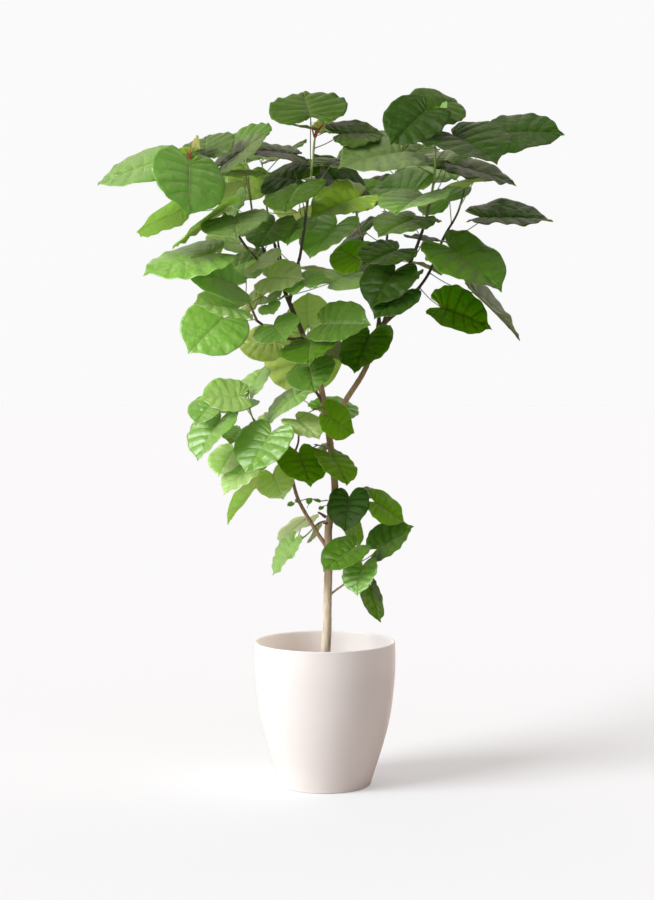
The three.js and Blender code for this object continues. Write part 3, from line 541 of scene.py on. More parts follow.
def leaf_at(foot, row, shift, form):
    """A leaf's frame: where its stalk joins, and the blade's own three directions."""
    bearing, rise, heading, droop, length = row[:5]
    tilt = row[5] if len(row) > 5 else 0
    share = row[6] if len(row) > 6 else STALK_SHARE
    joint = aim(bearing, rise) * (length * share) + foot + shift
    along = aim(heading, -droop)
    face = LIGHT - along * (LIGHT @ along)
    face /= np.linalg.norm(face)
    side = np.cross(face, along)
    turn = math.radians(tilt)
    up = face * math.cos(turn) + side * math.sin(turn)
    side = side * math.cos(turn) - face * math.sin(turn)
    return {"foot": foot, "joint": joint, "along": along, "side": side, "up": up, "length": length,
            **form}


def blade_points(leaf, u, v):
    """Points of a plain blade: u runs along its midrib and v across it, in parts of its length."""
    u = np.asarray(u, float)[..., None]
    v = np.asarray(v, float)[..., None]
    bend = -leaf["curl"] * u * u - leaf["cup"] * v * v
    return leaf["joint"] + leaf["length"] * (u * leaf["along"] + v * leaf["side"] + bend * leaf["up"])


def blade_lines(leaf):
    """The lines that stand for a blade: its margin and spokes from the midrib to it."""
    lines = []
    for sign in (1, -1):
        u = np.array([p[0] for p in OUTLINE], float)
        v = np.array([p[1] for p in OUTLINE], float) * sign
        rim = blade_points(leaf, u, v)
        foot = np.maximum(u[1:], VEIN_FOOT)
        inner = blade_points(leaf, foot, 0 * foot)
        middle = blade_points(leaf, (u[1:] + foot) / 2, v[1:] / 2)
        lines += [np.stack(pair, 1) for pair in ((rim[:-1], rim[1:]), (inner, middle), (middle, rim[1:]))]
    return np.concatenate(lines)


def half_width(u):
    """How wide half a blade is at these places of its midrib, and -1 past its ends."""
    stations, widths = zip(*HALF_WIDTH)
    inside = (u >= stations[0]) & (u <= 1)
    return np.where(inside, np.interp(u, stations, widths), -1)


FRAME_KEYS = ("joint", "along", "side", "up", "length", "curl", "cup", "middle")


def stacked(blades):
    return {key: np.array([blade[key] for blade in blades], float) for key in FRAME_KEYS}


def lines_meet(starts, ends, blades, clear):
    """Does any of these short lines come too near one of the blades, or pass through it?"""
    if not len(blades["length"]) or not len(starts):
        return False
    near = clear / blades["length"][:, None]
    spots = []
    for points in (starts, ends):
        d = (points[None] - blades["joint"][:, None]) / blades["length"][:, None, None]
        u, v, high = (np.einsum("bsk,bk->bs", d, blades[key]) for key in ("along", "side", "up"))
        gap = high + blades["curl"][:, None] * u * u + blades["cup"][:, None] * v * v
        spots.append((u, v, gap))
        if ((np.abs(gap) < near) & (np.abs(v) < half_width(u) + near)).any():
            return True
    (u0, v0, gap0), (u1, v1, gap1) = spots
    crosses = gap0 * gap1 <= 0
    step = np.where(gap0 == gap1, 1, gap0 - gap1)
    f = np.where(gap0 == gap1, np.nan, gap0 / step)
    with np.errstate(invalid="ignore"):
        within = np.abs(v0 + (v1 - v0) * f) < half_width(u0 + (u1 - u0) * f) + near
    return bool((crosses & within).any())


def rod_distances(a, b, c, d):
    """The least distance of each line ab from each line cd."""
    u = (b - a)[:, None]
    v = (d - c)[None]
    w = a[:, None] - c[None]
    uu, uv, vv = (u * u).sum(-1), (u * v).sum(-1), (v * v).sum(-1)
    uw, vw = (u * w).sum(-1), (v * w).sum(-1)
    det = uu * vv - uv * uv
    s = np.clip((uv * vw - vv * uw) / np.maximum(det, LEAST_LENGTH), 0, 1)
    s = np.where(det > LEAST_LENGTH, s, 0)
    t = np.clip((uv * s + vw) / vv, 0, 1)
    s = np.clip((uv * t - uw) / uu, 0, 1)
    return np.linalg.norm(w + u * s[..., None] - v * t[..., None], axis=-1)


class Grove:
    """What the plant already fills: wood as short rods, and blades."""

    def __init__(self):
        self.starts, self.ends, self.radii, self.owners = [], [], [], []
        self.leaves = []
        self.lines = []
        self.settle()

    def settle(self):
        """Keep what has been added as arrays, for the tests to come."""
        starts, ends = (np.array(points, float).reshape(-1, 3) for points in (self.starts, self.ends))
        self.rods = (starts, ends, np.array(self.radii, float), np.array(self.owners, object))
        self.blades = stacked(self.leaves)

    def add_limb(self, path, radius, owner):
        count = max(2, math.floor(path_length(path) / ROD_LENGTH + 0.5))
        points = even_points(path, count)
        for i in range(count):
            self.starts.append(points[i])
            self.ends.append(points[i + 1])
            self.radii.append(radius[0] + (radius[1] - radius[0]) * i / count)
            self.owners.append(owner)

    def add_leaf(self, leaf, owner):
        leaf["middle"] = blade_points(leaf, BLADE_MIDDLE, 0)
        self.leaves.append(leaf)
        self.lines.append(blade_lines(leaf))
        starts, ends = stalk_rods(leaf)
        self.starts += list(starts)
        self.ends += list(ends)
        self.radii += [STALK_RADIUS] * STALK_RODS
        self.owners += [owner] * STALK_RODS
        self.settle()

    def fits(self, leaf, owner):
        """Does the leaf stay clear of every limb, blade and stalk so far?"""
        starts, ends, radii, owners = self.rods
        leaf["middle"] = blade_points(leaf, BLADE_MIDDLE, 0)
        reach = leaf["length"] * BLADE_REACH
        own = stacked([leaf])
        near = np.linalg.norm(starts - leaf["middle"], axis=1) <= reach + WOOD_REACH
        if lines_meet(starts[near], ends[near], own, radii[near][None] + WOOD_CLEAR):
            return False
        lines = blade_lines(leaf)
        blades = self.blades
        if len(self.leaves):
            apart = np.linalg.norm(blades["middle"] - leaf["middle"], axis=1)
            close = apart <= reach + blades["length"] * BLADE_REACH
            near_blades = {key: values[close] for key, values in blades.items()}
            if lines_meet(lines[:, 0], lines[:, 1], near_blades, BLADE_CLEAR):
                return False
            others = [self.lines[i] for i in np.flatnonzero(close)]
            if others:
                others = np.concatenate(others)
                if lines_meet(others[:, 0], others[:, 1], own, BLADE_CLEAR):
                    return False
        a, b = stalk_rods(leaf)
        if len(self.leaves) and lines_meet(a, b, blades, STALK_RADIUS + WOOD_CLEAR):
            return False
        by_foot = np.linalg.norm(starts - leaf["foot"], axis=1) < OWN_LIMB_REACH
        on_limb = (owners == MASSES[owner]["on"]) & by_foot
        away = (owners == owner) | on_limb
        far = np.linalg.norm(a[:, None] - starts[None], axis=-1) > STALK_REACH
        touching = rod_distances(a, b, starts, ends) < STALK_RADIUS + radii[None] + WOOD_CLEAR
        return not (touching & ~far & ~away[None]).any()


def stalk_rods(leaf):
    """The starts and ends of a straight stalk's short rods."""
    shares = np.linspace(0, 1, STALK_RODS + 1)[:, None]
    points = leaf["foot"] + (leaf["joint"] - leaf["foot"]) * shares
    return points[:-1], points[1:]


def places_to_try():
    """Shifts from a leaf's own place: mostly nearer the viewer or further away."""
    shifts = []
    for ring, across in enumerate(MOVE_ACROSS):
        turns = [TURN * k / MOVE_SPOKES for k in range(MOVE_SPOKES if ring else 1)]
        for k in range(2 * MOVE_DEPTHS + 1):
            step = (k + 1) // 2 * (1 if k % 2 else -1)
            shifts += [np.array([across * math.cos(t), step * MOVE_DEPTH, across * math.sin(t)])
                       for t in turns]
    return shifts


def wanted_leaves(name, mass):
    """A mass's leaves at their own places, each with its depth, foot, row and form."""
    draw = seeded_draw(mass["seed"])
    wanted = []
    for stem in mass["stems"]:
        feet = even_points(stem["path"], STEM_PLACES)
        start = stem.get("start", STALK_START)
        for i, row in enumerate(stem["leaves"]):
            share = start + ((1 - start) * i) / (len(stem["leaves"]) - 1)
            foot = feet[math.floor(share * STEM_PLACES + 0.5)]
            form = {"curl": draw(*CURL), "cup": draw(*CUP), "tone": stem["tones"][i], "name": name,
                    "number": len(wanted)}
            depth = leaf_at(foot, row, np.zeros(3), form)["joint"][1]
            wanted.append((depth, name, foot, row, form))
    return wanted


def grow():
    """Every leaf that finds a free place, those nearest the viewer first."""
    grove = Grove()
    for name, limb in LIMBS.items():
        grove.add_limb(limb["path"], limb["radius"], name)
    wanted = []
    for name, mass in MASSES.items():
        for stem in mass["stems"]:
            grove.add_limb(stem["path"], stem["radius"], name)
    for name, mass in MASSES.items():
        wanted += wanted_leaves(name, mass)
    grove.settle()
    wanted.sort(key=lambda leaf: leaf[0])
    shifts = places_to_try()
    for _, name, foot, row, form in wanted:
        for shift in shifts:
            leaf = leaf_at(foot, row, shift, form)
            if grove.fits(leaf, name):
                grove.add_leaf(leaf, name)
                break
    return grove.leaves


leaves = grow()


# One leaf's veins from the tip to the stalk, in parts of its midrib: the place where each ends on
# the margin, where it leaves the midrib, and how far it bows
VEINS = [(1.0, 0.0, 0.92, 0.0), (0.905, 0.15, 0.73, 0.015), (0.765, 0.385, 0.56, 0.03),
         (0.565, 0.555, 0.39, 0.04), (0.31, 0.635, 0.23, 0.045), (0.05, 0.615, 0.08, 0.04),
         (-0.15, 0.51, 0.0, 0.03), (-0.262, 0.35, 0.0, 0.02), (-0.25, 0.19, 0.0, 0.0),
         (-0.12, 0.06, 0.0, 0.0)]
GAP_SHARES = (0.17, 0.34, 0.5, 0.66, 0.83)
VEIN_ROWS = [0.1, 0.24, 0.42, 0.6, 0.78, 0.92, 1.0]
MIDRIB_ROW = 1.3  # the first row's place, in half widths of the midrib
VEIN_HALF = (0.0034, 0.001)  # half widths at the midrib and at the margin
VEIN_WIDENS = 0.12
MIDRIB_HALF = (0.0065, 0.0018)
TIP_PINCH = 0.4
TIP_START = 0.82
PLATE = 0.01
MERGE = 1e-5
LEAST_EDGE = 1e-6
ON_VEIN, BELOW, RIM = 1, 2, 4  # steps between a leaf's materials: skin, vein, the two below, rim


def along_stations(values, s):
    """A smooth value between the veins' stations."""
    values = np.array(values, float)
    padded = np.concatenate([[2 * values[0] - values[1]], values, [2 * values[-1] - values[-2]]])
    i = min(int(s), len(values) - 2)
    w = s - i
    p0, p1, p2, p3 = padded[i:i + 4]
    return 0.5 * (2 * p1 + (p2 - p0) * w + (2 * p0 - 5 * p1 + 4 * p2 - p3) * w * w
                  + (3 * p1 - p0 - 3 * p2 + p3) * w ** 3)


def vein_line(s, t):
    """A point of the half blade: s runs over the veins from the tip to the stalk, t from the
    midrib to the margin. Also the direction across the vein, its length and its foot."""
    edge_u, edge_v, start, bow = (along_stations(column, s) for column in zip(*VEINS))
    foot = np.array([max(start, 0), 0])
    edge = np.array([edge_u, edge_v])
    edge[1] *= 1 - TIP_PINCH * min(max((edge[0] - TIP_START) / (1 - TIP_START), 0), 1)
    straight = edge - foot
    across = np.array([-straight[1], straight[0]]) / max(np.linalg.norm(straight), LEAST_LENGTH)
    bend = (foot + edge) / 2 + across * bow
    point = (1 - t) ** 2 * foot + 2 * t * (1 - t) * bend + t * t * edge
    way = 2 * (1 - t) * (bend - foot) + 2 * t * (edge - bend)
    way /= max(np.linalg.norm(way), LEAST_LENGTH)
    return point, np.array([-way[1], way[0]]), float(np.linalg.norm(straight)), foot[0]


def sweep_columns():
    """Columns of the half blade: each vein is a narrow strip between two of them."""
    columns = [(0, 0), (0, 1)]
    for k in range(len(VEINS) - 1):
        columns += [(k + share, 0) for share in GAP_SHARES]
        columns += [(k + 1, -1), (k + 1, 1)] if k + 2 < len(VEINS) else [(k + 1, 0)]
    return columns


def mesh_of(name, bm):
    mesh = bpy.data.meshes.new(name)
    bm.to_mesh(mesh)
    bm.free()
    return mesh


def build_template():
    """One flat leaf, a unit long, with its veins as strips of their own and a lower side."""
    columns = sweep_columns()
    rows = len(VEIN_ROWS) + 1
    bm = bmesh.new()
    sweep = bm.verts.layers.float.new("sweep")
    reach = bm.verts.layers.float.new("reach")
    bmesh.ops.create_grid(bm, x_segments=len(columns) - 1, y_segments=rows, size=1)
    cells = {}
    for vert in bm.verts:
        cells[vert] = (round((vert.co.x + 1) / 2 * (len(columns) - 1)), round((vert.co.y + 1) / 2 * rows))
    for face in bm.faces:
        strips = {columns[cells[v][0]] for v in face.verts}
        on_vein = len({s for s, _ in strips}) == 1
        on_midrib = min(cells[v][1] for v in face.verts) == 0
        face.material_index = ON_VEIN if on_vein or on_midrib else 0
    for vert, (column, row) in cells.items():
        s, side = columns[column]
        _, _, length, foot = vein_line(s, 0)
        t = [0, MIDRIB_ROW * from_to(MIDRIB_HALF, foot) / max(length, LEAST_LENGTH), *VEIN_ROWS][row]
        point, across, _, _ = vein_line(s, t)
        half = from_to(VEIN_HALF, t) * min(1, t / VEIN_WIDENS)
        if s == 0:
            half = from_to(MIDRIB_HALF, point[0]) * (1 - t)
        point = point + across * side * half
        vert[sweep] = s
        vert[reach] = t
        vert.co = (point[0], max(point[1], 0) if row else 0, 0)
    bmesh.ops.remove_doubles(bm, verts=bm.verts[:], dist=MERGE)
    bmesh.ops.mirror(bm, geom=bm.verts[:] + bm.edges[:] + bm.faces[:], axis="Y", merge_dist=MERGE)
    bmesh.ops.dissolve_degenerate(bm, edges=bm.edges[:], dist=LEAST_EDGE)
    bmesh.ops.recalc_face_normals(bm, faces=bm.faces[:])
    if bm.faces[0].normal.z < 0:
        bmesh.ops.reverse_faces(bm, faces=bm.faces[:])
    bmesh.ops.solidify(bm, geom=bm.faces[:], thickness=PLATE)
    bmesh.ops.recalc_face_normals(bm, faces=bm.faces[:])
    low = min(v.co.z for v in bm.verts)
    for face in bm.faces:
        if abs(face.normal.z) < 0.5:
            face.material_index = RIM
        elif face.normal.z < 0:
            face.material_index += BELOW
    mesh = mesh_of("leaf_template", bm)
    count = len(mesh.vertices)
    co = np.empty(count * 3, np.float32)
    mesh.vertices.foreach_get("co", co)
    co = co.reshape(-1, 3).astype(float)
    values = {}
    for key in ("sweep", "reach"):
        values[key] = np.empty(count, np.float32)
        mesh.attributes[key].data.foreach_get("value", values[key])
    corners = np.empty(len(mesh.loops), np.int32)
    mesh.loops.foreach_get("vertex_index", corners)
    sizes = np.array([len(p.vertices) for p in mesh.polygons])
    kinds = np.array([p.material_index for p in mesh.polygons])
    bpy.data.meshes.remove(mesh)
    upper = co[:, 2] > (low + max(co[:, 2])) / 2
    return {"u": co[:, 0], "v": co[:, 1], "upper": upper, "corners": corners, "sizes": sizes,
            "kinds": kinds, **values}


LEAF = build_template()

# How each leaf differs from that plain one, mostly in parts of its length
LEAF_SEED = (7, 131, 7919)  # factors for the letters of its mass's name, for the name and for its number
LEAF_THICKNESS = 0.4
WAVES = ((0.19, 0.022), (0.45, 0.012), (1.0, 0.011))  # turns per vein and height of the margin's waves
LOBES = ((0.16, 0.014), (0.37, 0.012), (1.0, 0.007))  # the same for how far the outline swells
WAVE_SIZES = (0.5, 1.3)
WAVE_SWELL = 0.6
WAVE_SWELL_TURNS = (0.5, 1.1)
WAVE_GROWTH = 2.5  # powers by which waves and lobes grow towards the margin
LOBE_GROWTH = 4
LOBE_MIDDLE = 0.2
TIP_CALM = 1.3  # how soon past the tip the margin waves in full
QUILT = (0.018, 0.026)  # how far the skin swells between the veins
QUILT_ROUND = 0.75
QUILT_START = 0.16
QUILT_LOSS = 0.5
SMOOTH_TONES = "lpw"  # leaves whose skin swells less
SMOOTHNESS = 0.6
GROOVE = (0.004, 0.010)  # how deep the midrib lies
GROOVE_WIDTH = 0.03
SKEW = (-0.05, 0.05)
TIP_BEND = (0.0, 0.5)
TIP_BEND_START = 0.8
FOLD = (2, 12)  # degrees that each half is lifted from the midrib
YOUNG = {"a": 46, "y": 14}  # the same for young leaves
ON_LINE = 1e-3
VEIN_HEIGHT = 0.5  # millimetres that veins stand out below
VEIN_TAPER = 0.8
VEIN_STARTS = 0.01
MIDRIB_HEIGHT = 0.8
MIDRIB_WIDTH = 0.012


def bell(across, width):
    return np.exp(-((across / width) ** 2))


def shaped(leaf):
    """The vertices of one leaf in metres, bent, waved and quilted between its veins, and its map."""
    by_letter, by_name, by_number = LEAF_SEED
    letters = sum(ord(letter) * (i + by_letter) for i, letter in enumerate(leaf["name"]))
    draw = seeded_draw(letters * by_name + leaf["number"] * by_number + 1)
    s, t = LEAF["sweep"].astype(float), LEAF["reach"].astype(float)
    u, v = LEAF["u"].copy(), LEAF["v"].copy()
    right = v > 0
    lobe = np.zeros(len(u))
    wave = np.zeros(len(u))
    for side in (right, ~right):
        for turns, tall in WAVES:
            phase, size = draw(0, TURN), draw(*WAVE_SIZES)
            swell = 1 + WAVE_SWELL * np.sin(s * draw(*WAVE_SWELL_TURNS) + phase)
            wave = np.where(side, wave + tall * size * swell * np.sin(TURN * turns * s + phase), wave)
        for turns, wide in LOBES:
            phase, size = draw(0, TURN), draw(*WAVE_SIZES)
            lobe = np.where(side, lobe + wide * size * np.sin(TURN * turns * s + phase), lobe)
    gap = np.abs(np.sin(math.pi * s))
    calm = 1 - np.exp(-TIP_CALM * s)
    wave *= calm * t ** WAVE_GROWTH
    lobe *= calm * t ** LOBE_GROWTH
    swelling = draw(*QUILT) * (SMOOTHNESS if leaf["tone"] in SMOOTH_TONES else 1)
    quilt = swelling * gap ** QUILT_ROUND * np.minimum(1, t / QUILT_START) * (1 - QUILT_LOSS * t * t)
    groove = draw(*GROOVE) * bell(np.abs(v), GROOVE_WIDTH)
    u = u + lobe * (u - LOBE_MIDDLE)
    v = v * (1 + lobe) + draw(*SKEW) * u * u
    tip_bend = draw(*TIP_BEND) * np.maximum(u - TIP_BEND_START, 0) ** 2
    bend = -leaf["curl"] * u * u - leaf["cup"] * v * v - tip_bend
    fold = math.radians(YOUNG.get(leaf["tone"], draw(*FOLD)))
    high = bend + wave + quilt - groove + np.abs(v) * math.sin(fold)
    v = v * math.cos(fold)
    on_vein = (gap < ON_LINE) & (t > VEIN_STARTS)
    ridge = np.where(on_vein, VEIN_HEIGHT * (1 - VEIN_TAPER * t), 0)
    ridge = ridge + MIDRIB_HEIGHT * bell(np.abs(v), MIDRIB_WIDTH)
    lift = leaf["length"] * high - np.where(LEAF["upper"], 0, LEAF_THICKNESS + ridge)
    points = (leaf["joint"] + leaf["length"] * (u[:, None] * leaf["along"] + v[:, None] * leaf["side"])
              + lift[:, None] * leaf["up"])
    return points * MM, np.stack([u, v], 1) * leaf["length"] * MM


def joined_leaves(name, members, slot):
    """One piece of many leaves, each with its own tone, which carries painted light and shade."""
    paints = []
    points, maps, corners, kinds = [], [], [], []
    for k, leaf in enumerate(members):
        tone = leaf["tone"]
        wanted = [skin_paints[tone], *kind_paints[TONES[tone][1]], edge_paint]
        for material in wanted:
            if material not in paints:
                paints.append(material)
        place, leaf_map = shaped(leaf)
        points.append(place)
        maps.append(leaf_map[LEAF["corners"]])
        corners.append(LEAF["corners"] + k * len(LEAF["u"]))
        kinds.append(np.array([paints.index(m) for m in wanted])[LEAF["kinds"]])
    points = np.concatenate(points)
    corners = np.concatenate(corners)
    sizes = np.tile(LEAF["sizes"], len(members))
    mesh = bpy.data.meshes.new(name)
    mesh.vertices.add(len(points))
    mesh.vertices.foreach_set("co", points.astype(np.float32).ravel())
    mesh.loops.add(len(corners))
    mesh.loops.foreach_set("vertex_index", corners.astype(np.int32))
    mesh.polygons.add(len(sizes))
    starts = np.concatenate([[0], np.cumsum(sizes)[:-1]])
    mesh.polygons.foreach_set("loop_start", starts.astype(np.int32))
    for material in paints:
        mesh.materials.append(material)
    mesh.polygons.foreach_set("material_index", np.concatenate(kinds).astype(np.int32))
    mesh.polygons.foreach_set("use_smooth", np.ones(len(sizes), bool))
    layer = mesh.uv_layers.new(name="leaf_map")
    layer.data.foreach_set("uv", np.concatenate(maps).astype(np.float32).ravel())
    mesh.update(calc_edges=True)
    mesh.validate()
    show(name, mesh, slot, sorted({leaf["name"] for leaf in members}))


def show(name, mesh, slot, nodes=()):
    """A finished piece of the plant, in place of these nodes of the frame."""
    piece = placed(name, mesh)
    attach(piece, "root")
    if nodes:
        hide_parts(*nodes)


# Tiny leaves of the thin twig low on the trunk: joint, heading, droop and length
TINY_LEAVES = [((-13, 0, 669), 200, -10, 11), ((-24, 0, 671), 30, 20, 9), ((-37, 0, 672), 260, 65, 13),
               ((-62, 0, 668), 190, -20, 10), ((-77, 0, 663), 200, 25, 14), ((-8, -8, 655), 240, 40, 11)]
TINY_FORM = {"curl": 0.1, "cup": 0.15, "tone": "b", "name": "foliage_low_left_small"}
FIRST_TINY = 50  # numbers past those of the mass's own leaves


def tiny_leaves():
    made = []
    for number, (joint, heading, droop, length) in enumerate(TINY_LEAVES):
        row = (heading, 0, heading, droop, length, 0, 0)
        form = {**TINY_FORM, "number": FIRST_TINY + number}
        made.append(leaf_at(np.array(joint, float), row, np.zeros(3), form))
    return made


LEAF_PIECES = {
    "leaves_left": ("left_top", "left_inner", "left_low", "middle_left"),
    "leaves_centre": ("centre_top", "centre_right", "middle", "middle_back"),
    "leaves_right": ("right_inner", "right_top", "right_outer"),
    "leaves_back": ("back_left", "back_right"),
    "leaves_trunk": ("trunk_upper", "trunk_lower", "low_right", "lowest_right", "low_left_small"),
    "leaves_low_left": ("low_left",),
}
all_leaves = leaves + tiny_leaves()
for piece_name, masses in LEAF_PIECES.items():
    names = {"foliage_" + mass for mass in masses}
    joined_leaves(piece_name, [leaf for leaf in all_leaves if leaf["name"] in names],
                  "young_leaf" if piece_name == "leaves_low_left" else "leaf")


# Wood

def swept(name, lines, resolution, *materials):
    """Round limbs along lines of points, each with its own radius, as one mesh of closed limbs."""
    curve = bpy.data.curves.new(name, "CURVE")
    curve.dimensions = "3D"
    curve.bevel_depth = MM
    curve.bevel_resolution = resolution
    curve.use_fill_caps = True
    for points, radii in lines:
        spline = curve.splines.new("POLY")
        spline.points.add(len(points) - 1)
        flat = np.concatenate([np.array(points) * MM, np.ones((len(points), 1))], 1)
        spline.points.foreach_set("co", flat.ravel())
        spline.points.foreach_set("radius", np.array(radii, float))
        spline.use_smooth = True
    holder = placed(name + "_line", curve)
    bpy.context.view_layer.update()
    mesh = bpy.data.meshes.new_from_object(holder.evaluated_get(bpy.context.evaluated_depsgraph_get()))
    bpy.data.objects.remove(holder)
    bpy.data.curves.remove(curve)
    mesh.name = name
    bm = bmesh.new()
    bm.from_mesh(mesh)
    bmesh.ops.remove_doubles(bm, verts=bm.verts[:], dist=LEAST_EDGE)
    bmesh.ops.recalc_face_normals(bm, faces=bm.faces[:])
    bm.to_mesh(mesh)
    bm.free()
    mesh.materials.clear()
    for material in materials:
        mesh.materials.append(material)
    return mesh


BARK_STEP = 3
SCAR_SEED = 37
SCAR_GAP = (20, 44)
SCAR_HEIGHT = 0.45
SCAR_SIZES = (0.5, 1.2)
SCAR_WIDTH = 1.6
COLLAR = 1.2
COLLAR_LENGTH = 9
FURROWS = (300, 300, 60)  # how close the bark's furrows and warts are, per metre
WARTS = 900
WART_SHARE = 0.35


def limb_line(name, limb):
    """The centre line and radii of a limb, with its flare, its collar and its leaf scars."""
    length = path_length(limb["path"])
    count = max(4, round(length / BARK_STEP))
    points = even_points(limb["path"], count)
    run = np.linspace(0, length, count + 1)
    radius = limb["radius"][0] + (limb["radius"][1] - limb["radius"][0]) * run / length
    if name == "trunk":
        radius = radius + FLARE * np.exp(-np.maximum(points[:, 2] - SOIL_TOP, 0) / FLARE_HEIGHT)
    else:
        radius = radius + COLLAR * np.exp(-run / COLLAR_LENGTH)
    draw = seeded_draw(sum(ord(letter) for letter in name) * SCAR_SEED)
    place = draw(*SCAR_GAP)
    while place < length:
        radius = radius + SCAR_HEIGHT * draw(*SCAR_SIZES) * bell(run - place, SCAR_WIDTH)
        place += draw(*SCAR_GAP)
    return points, radius


def roughened(mesh, depth, fineness):
    """The bark's relief: long shallow furrows and small warts."""
    for vert in mesh.vertices:
        p = vert.co
        furrow = noise.noise(Vector([part * scale for part, scale in zip(p, FURROWS)]) * fineness)
        wart = noise.noise(p * WARTS * fineness)
        vert.co = p + vert.normal * (depth * (furrow + WART_SHARE * wart) * MM)


BARK_COLOUR = (0.3, 0.24, 0.16)
BARK_ROUGHNESS = 0.8
STREAKS = (260, 260, 34)  # how close the streaks and pores are, per metre
STREAK_SHADES = (0.3, 0.7, 0.62, 1.25)  # the noise's range, and how dark or light it makes the bark
STREAK_RELIEF = (0.5, 0.0006)
PORES = (170, 170, 420)
PORE_SPOTS = (0.1, 0.24, 0.45, 0.0)  # how near its middle a pore is pale, and how pale
PORE_COLOUR = (0.5, 0.42, 0.3)


def stretched(material, scale):
    return texture(material, "ShaderNodeMapping", own_place(material), Scale=scale).outputs["Vector"]


def bark_paint(name, heights):
    """Bark: its colour by height, streaked and speckled with small pale pores."""
    low, high = heights[0][0], heights[-1][0]
    material = paint(name, BARK_COLOUR, BARK_ROUGHNESS)
    parts = node(material, "ShaderNodeSeparateXYZ")
    wire(material, own_place(material), parts.inputs["Vector"])
    stops = [((height - low) / (high - low), colour) for height, colour in heights]
    tint = ramp(material, spread(material, parts.outputs["Z"], low, high), stops)
    streaks = texture(material, "ShaderNodeTexNoise", stretched(material, STREAKS), Scale=1, Detail=5,
                      Roughness=0.6).outputs["Fac"]
    pores = texture(material, "ShaderNodeTexVoronoi", stretched(material, PORES), Scale=1)
    dark = node(material, "ShaderNodeVectorMath", operation="SCALE")
    wire(material, tint, dark.inputs[0])
    wire(material, spread(material, streaks, *STREAK_SHADES), dark.inputs["Scale"])
    mixed = node(material, "ShaderNodeMix", data_type="RGBA")
    wire(material, spread(material, pores.outputs["Distance"], *PORE_SPOTS), mixed.inputs["Factor"])
    wire(material, dark.outputs["Vector"], mixed.inputs["A"])
    mixed.inputs["B"].default_value = (*PORE_COLOUR, 1)
    wire(material, mixed.outputs["Result"], shader_of(material).inputs["Base Color"])
    relief(material, streaks, *STREAK_RELIEF)
    return material


# The bark's colours by height in metres
STEM_BARK = [(0.27, (0.6, 0.5, 0.38)), (0.42, (0.7, 0.59, 0.45)), (0.5, (0.64, 0.52, 0.37)),
             (0.6, (0.3, 0.23, 0.12)), (0.78, (0.25, 0.19, 0.085)), (0.9, (0.4, 0.29, 0.16)),
             (1.0, (0.18, 0.14, 0.065)), (1.09, (0.07, 0.055, 0.026)), (1.25, (0.03, 0.03, 0.012))]
BOUGH_BARK = [(0.43, (0.42, 0.31, 0.2)), (0.56, (0.4, 0.27, 0.17)), (0.72, (0.2, 0.14, 0.085)),
              (0.93, (0.14, 0.1, 0.06)), (1.05, (0.1, 0.085, 0.045)), (1.12, (0.055, 0.05, 0.024)),
              (1.27, (0.035, 0.04, 0.016))]
DEAD_BARK = [(1.155, (0.2, 0.08, 0.035)), (1.2, (0.22, 0.06, 0.025)), (1.24, (0.06, 0.025, 0.015)),
             (1.29, (0.012, 0.009, 0.008))]
STEM_LIMBS = ["trunk", "bough_right"]
DEAD_LIMBS = ["bough_dead"]
OTHER_LIMBS = [name for name in LIMBS if name not in STEM_LIMBS + DEAD_LIMBS]
DEAD_TICKS = [([(-104, 18, 1240), (-111, 20, 1243), (-115, 20, 1247)], (1.2, 0.5)),
              ([(-108, 21, 1264), (-116, 22, 1268), (-121, 23, 1271)], (1.2, 0.5))]
TICK_STEPS = 6


def tapered(parts, steps):
    """Lines of points with radii that run evenly from one end to the other."""
    return [(even_points(path, steps), np.linspace(*radius, steps + 1)) for path, radius in parts]


# Each piece's slot, its limbs and its other lines, how round it is, its bark, and the relief's depth
# in millimetres and fineness
BARK_PIECES = {
    "stem_bark": ("bark", STEM_LIMBS, [], 7, bark_paint("bark", STEM_BARK), 0.35, 1),
    "bough_bark": ("twig", OTHER_LIMBS, [], 4, bark_paint("twig_bark", BOUGH_BARK), 0.25, 1.4),
    "dead_twig": ("twig", DEAD_LIMBS, tapered(DEAD_TICKS, TICK_STEPS), 3,
                  bark_paint("dead_bark", DEAD_BARK), 0.2, 1.4),
}
for piece_name, (slot, limbs, more, resolution, material, depth, fineness) in BARK_PIECES.items():
    lines = [limb_line(limb, LIMBS[limb]) for limb in limbs] + more
    mesh = swept(piece_name, lines, resolution, material)
    roughened(mesh, depth, fineness)
    show(piece_name, mesh, slot, limbs)

twig_paints = [grained("twig_dark", (0.026, 0.028, 0.012), 0.6),
               grained("twig_olive", (0.09, 0.12, 0.035), 0.55),
               grained("twig_green", (0.2, 0.33, 0.08), 0.5),
               grained("twig_brown", (0.2, 0.13, 0.08), 0.7)]
DARK_TWIG, OLIVE_TWIG, GREEN_TWIG, BROWN_TWIG = range(4)
TALL = 100  # stems that rise more than this darken towards their foot
USUAL_SHARES = (0.42, 0.66)  # where such a stem turns from dark to olive and to green
DARK_SHARES = {"foliage_left_top": (0.12, 0.5), "foliage_right_outer": (0.6, 0.78),
               "foliage_right_top": (0.3, 0.5)}
BROWN_SHARE = 0.45  # where a low stem turns from brown to green
STEM_STEP = 4
KNOT_HEIGHT = 0.45
KNOT_WIDTH = 2.2
STEM_ROUGHNESS = (0.12, 2)
BLOCKS = 40  # groups of faces, to spare memory


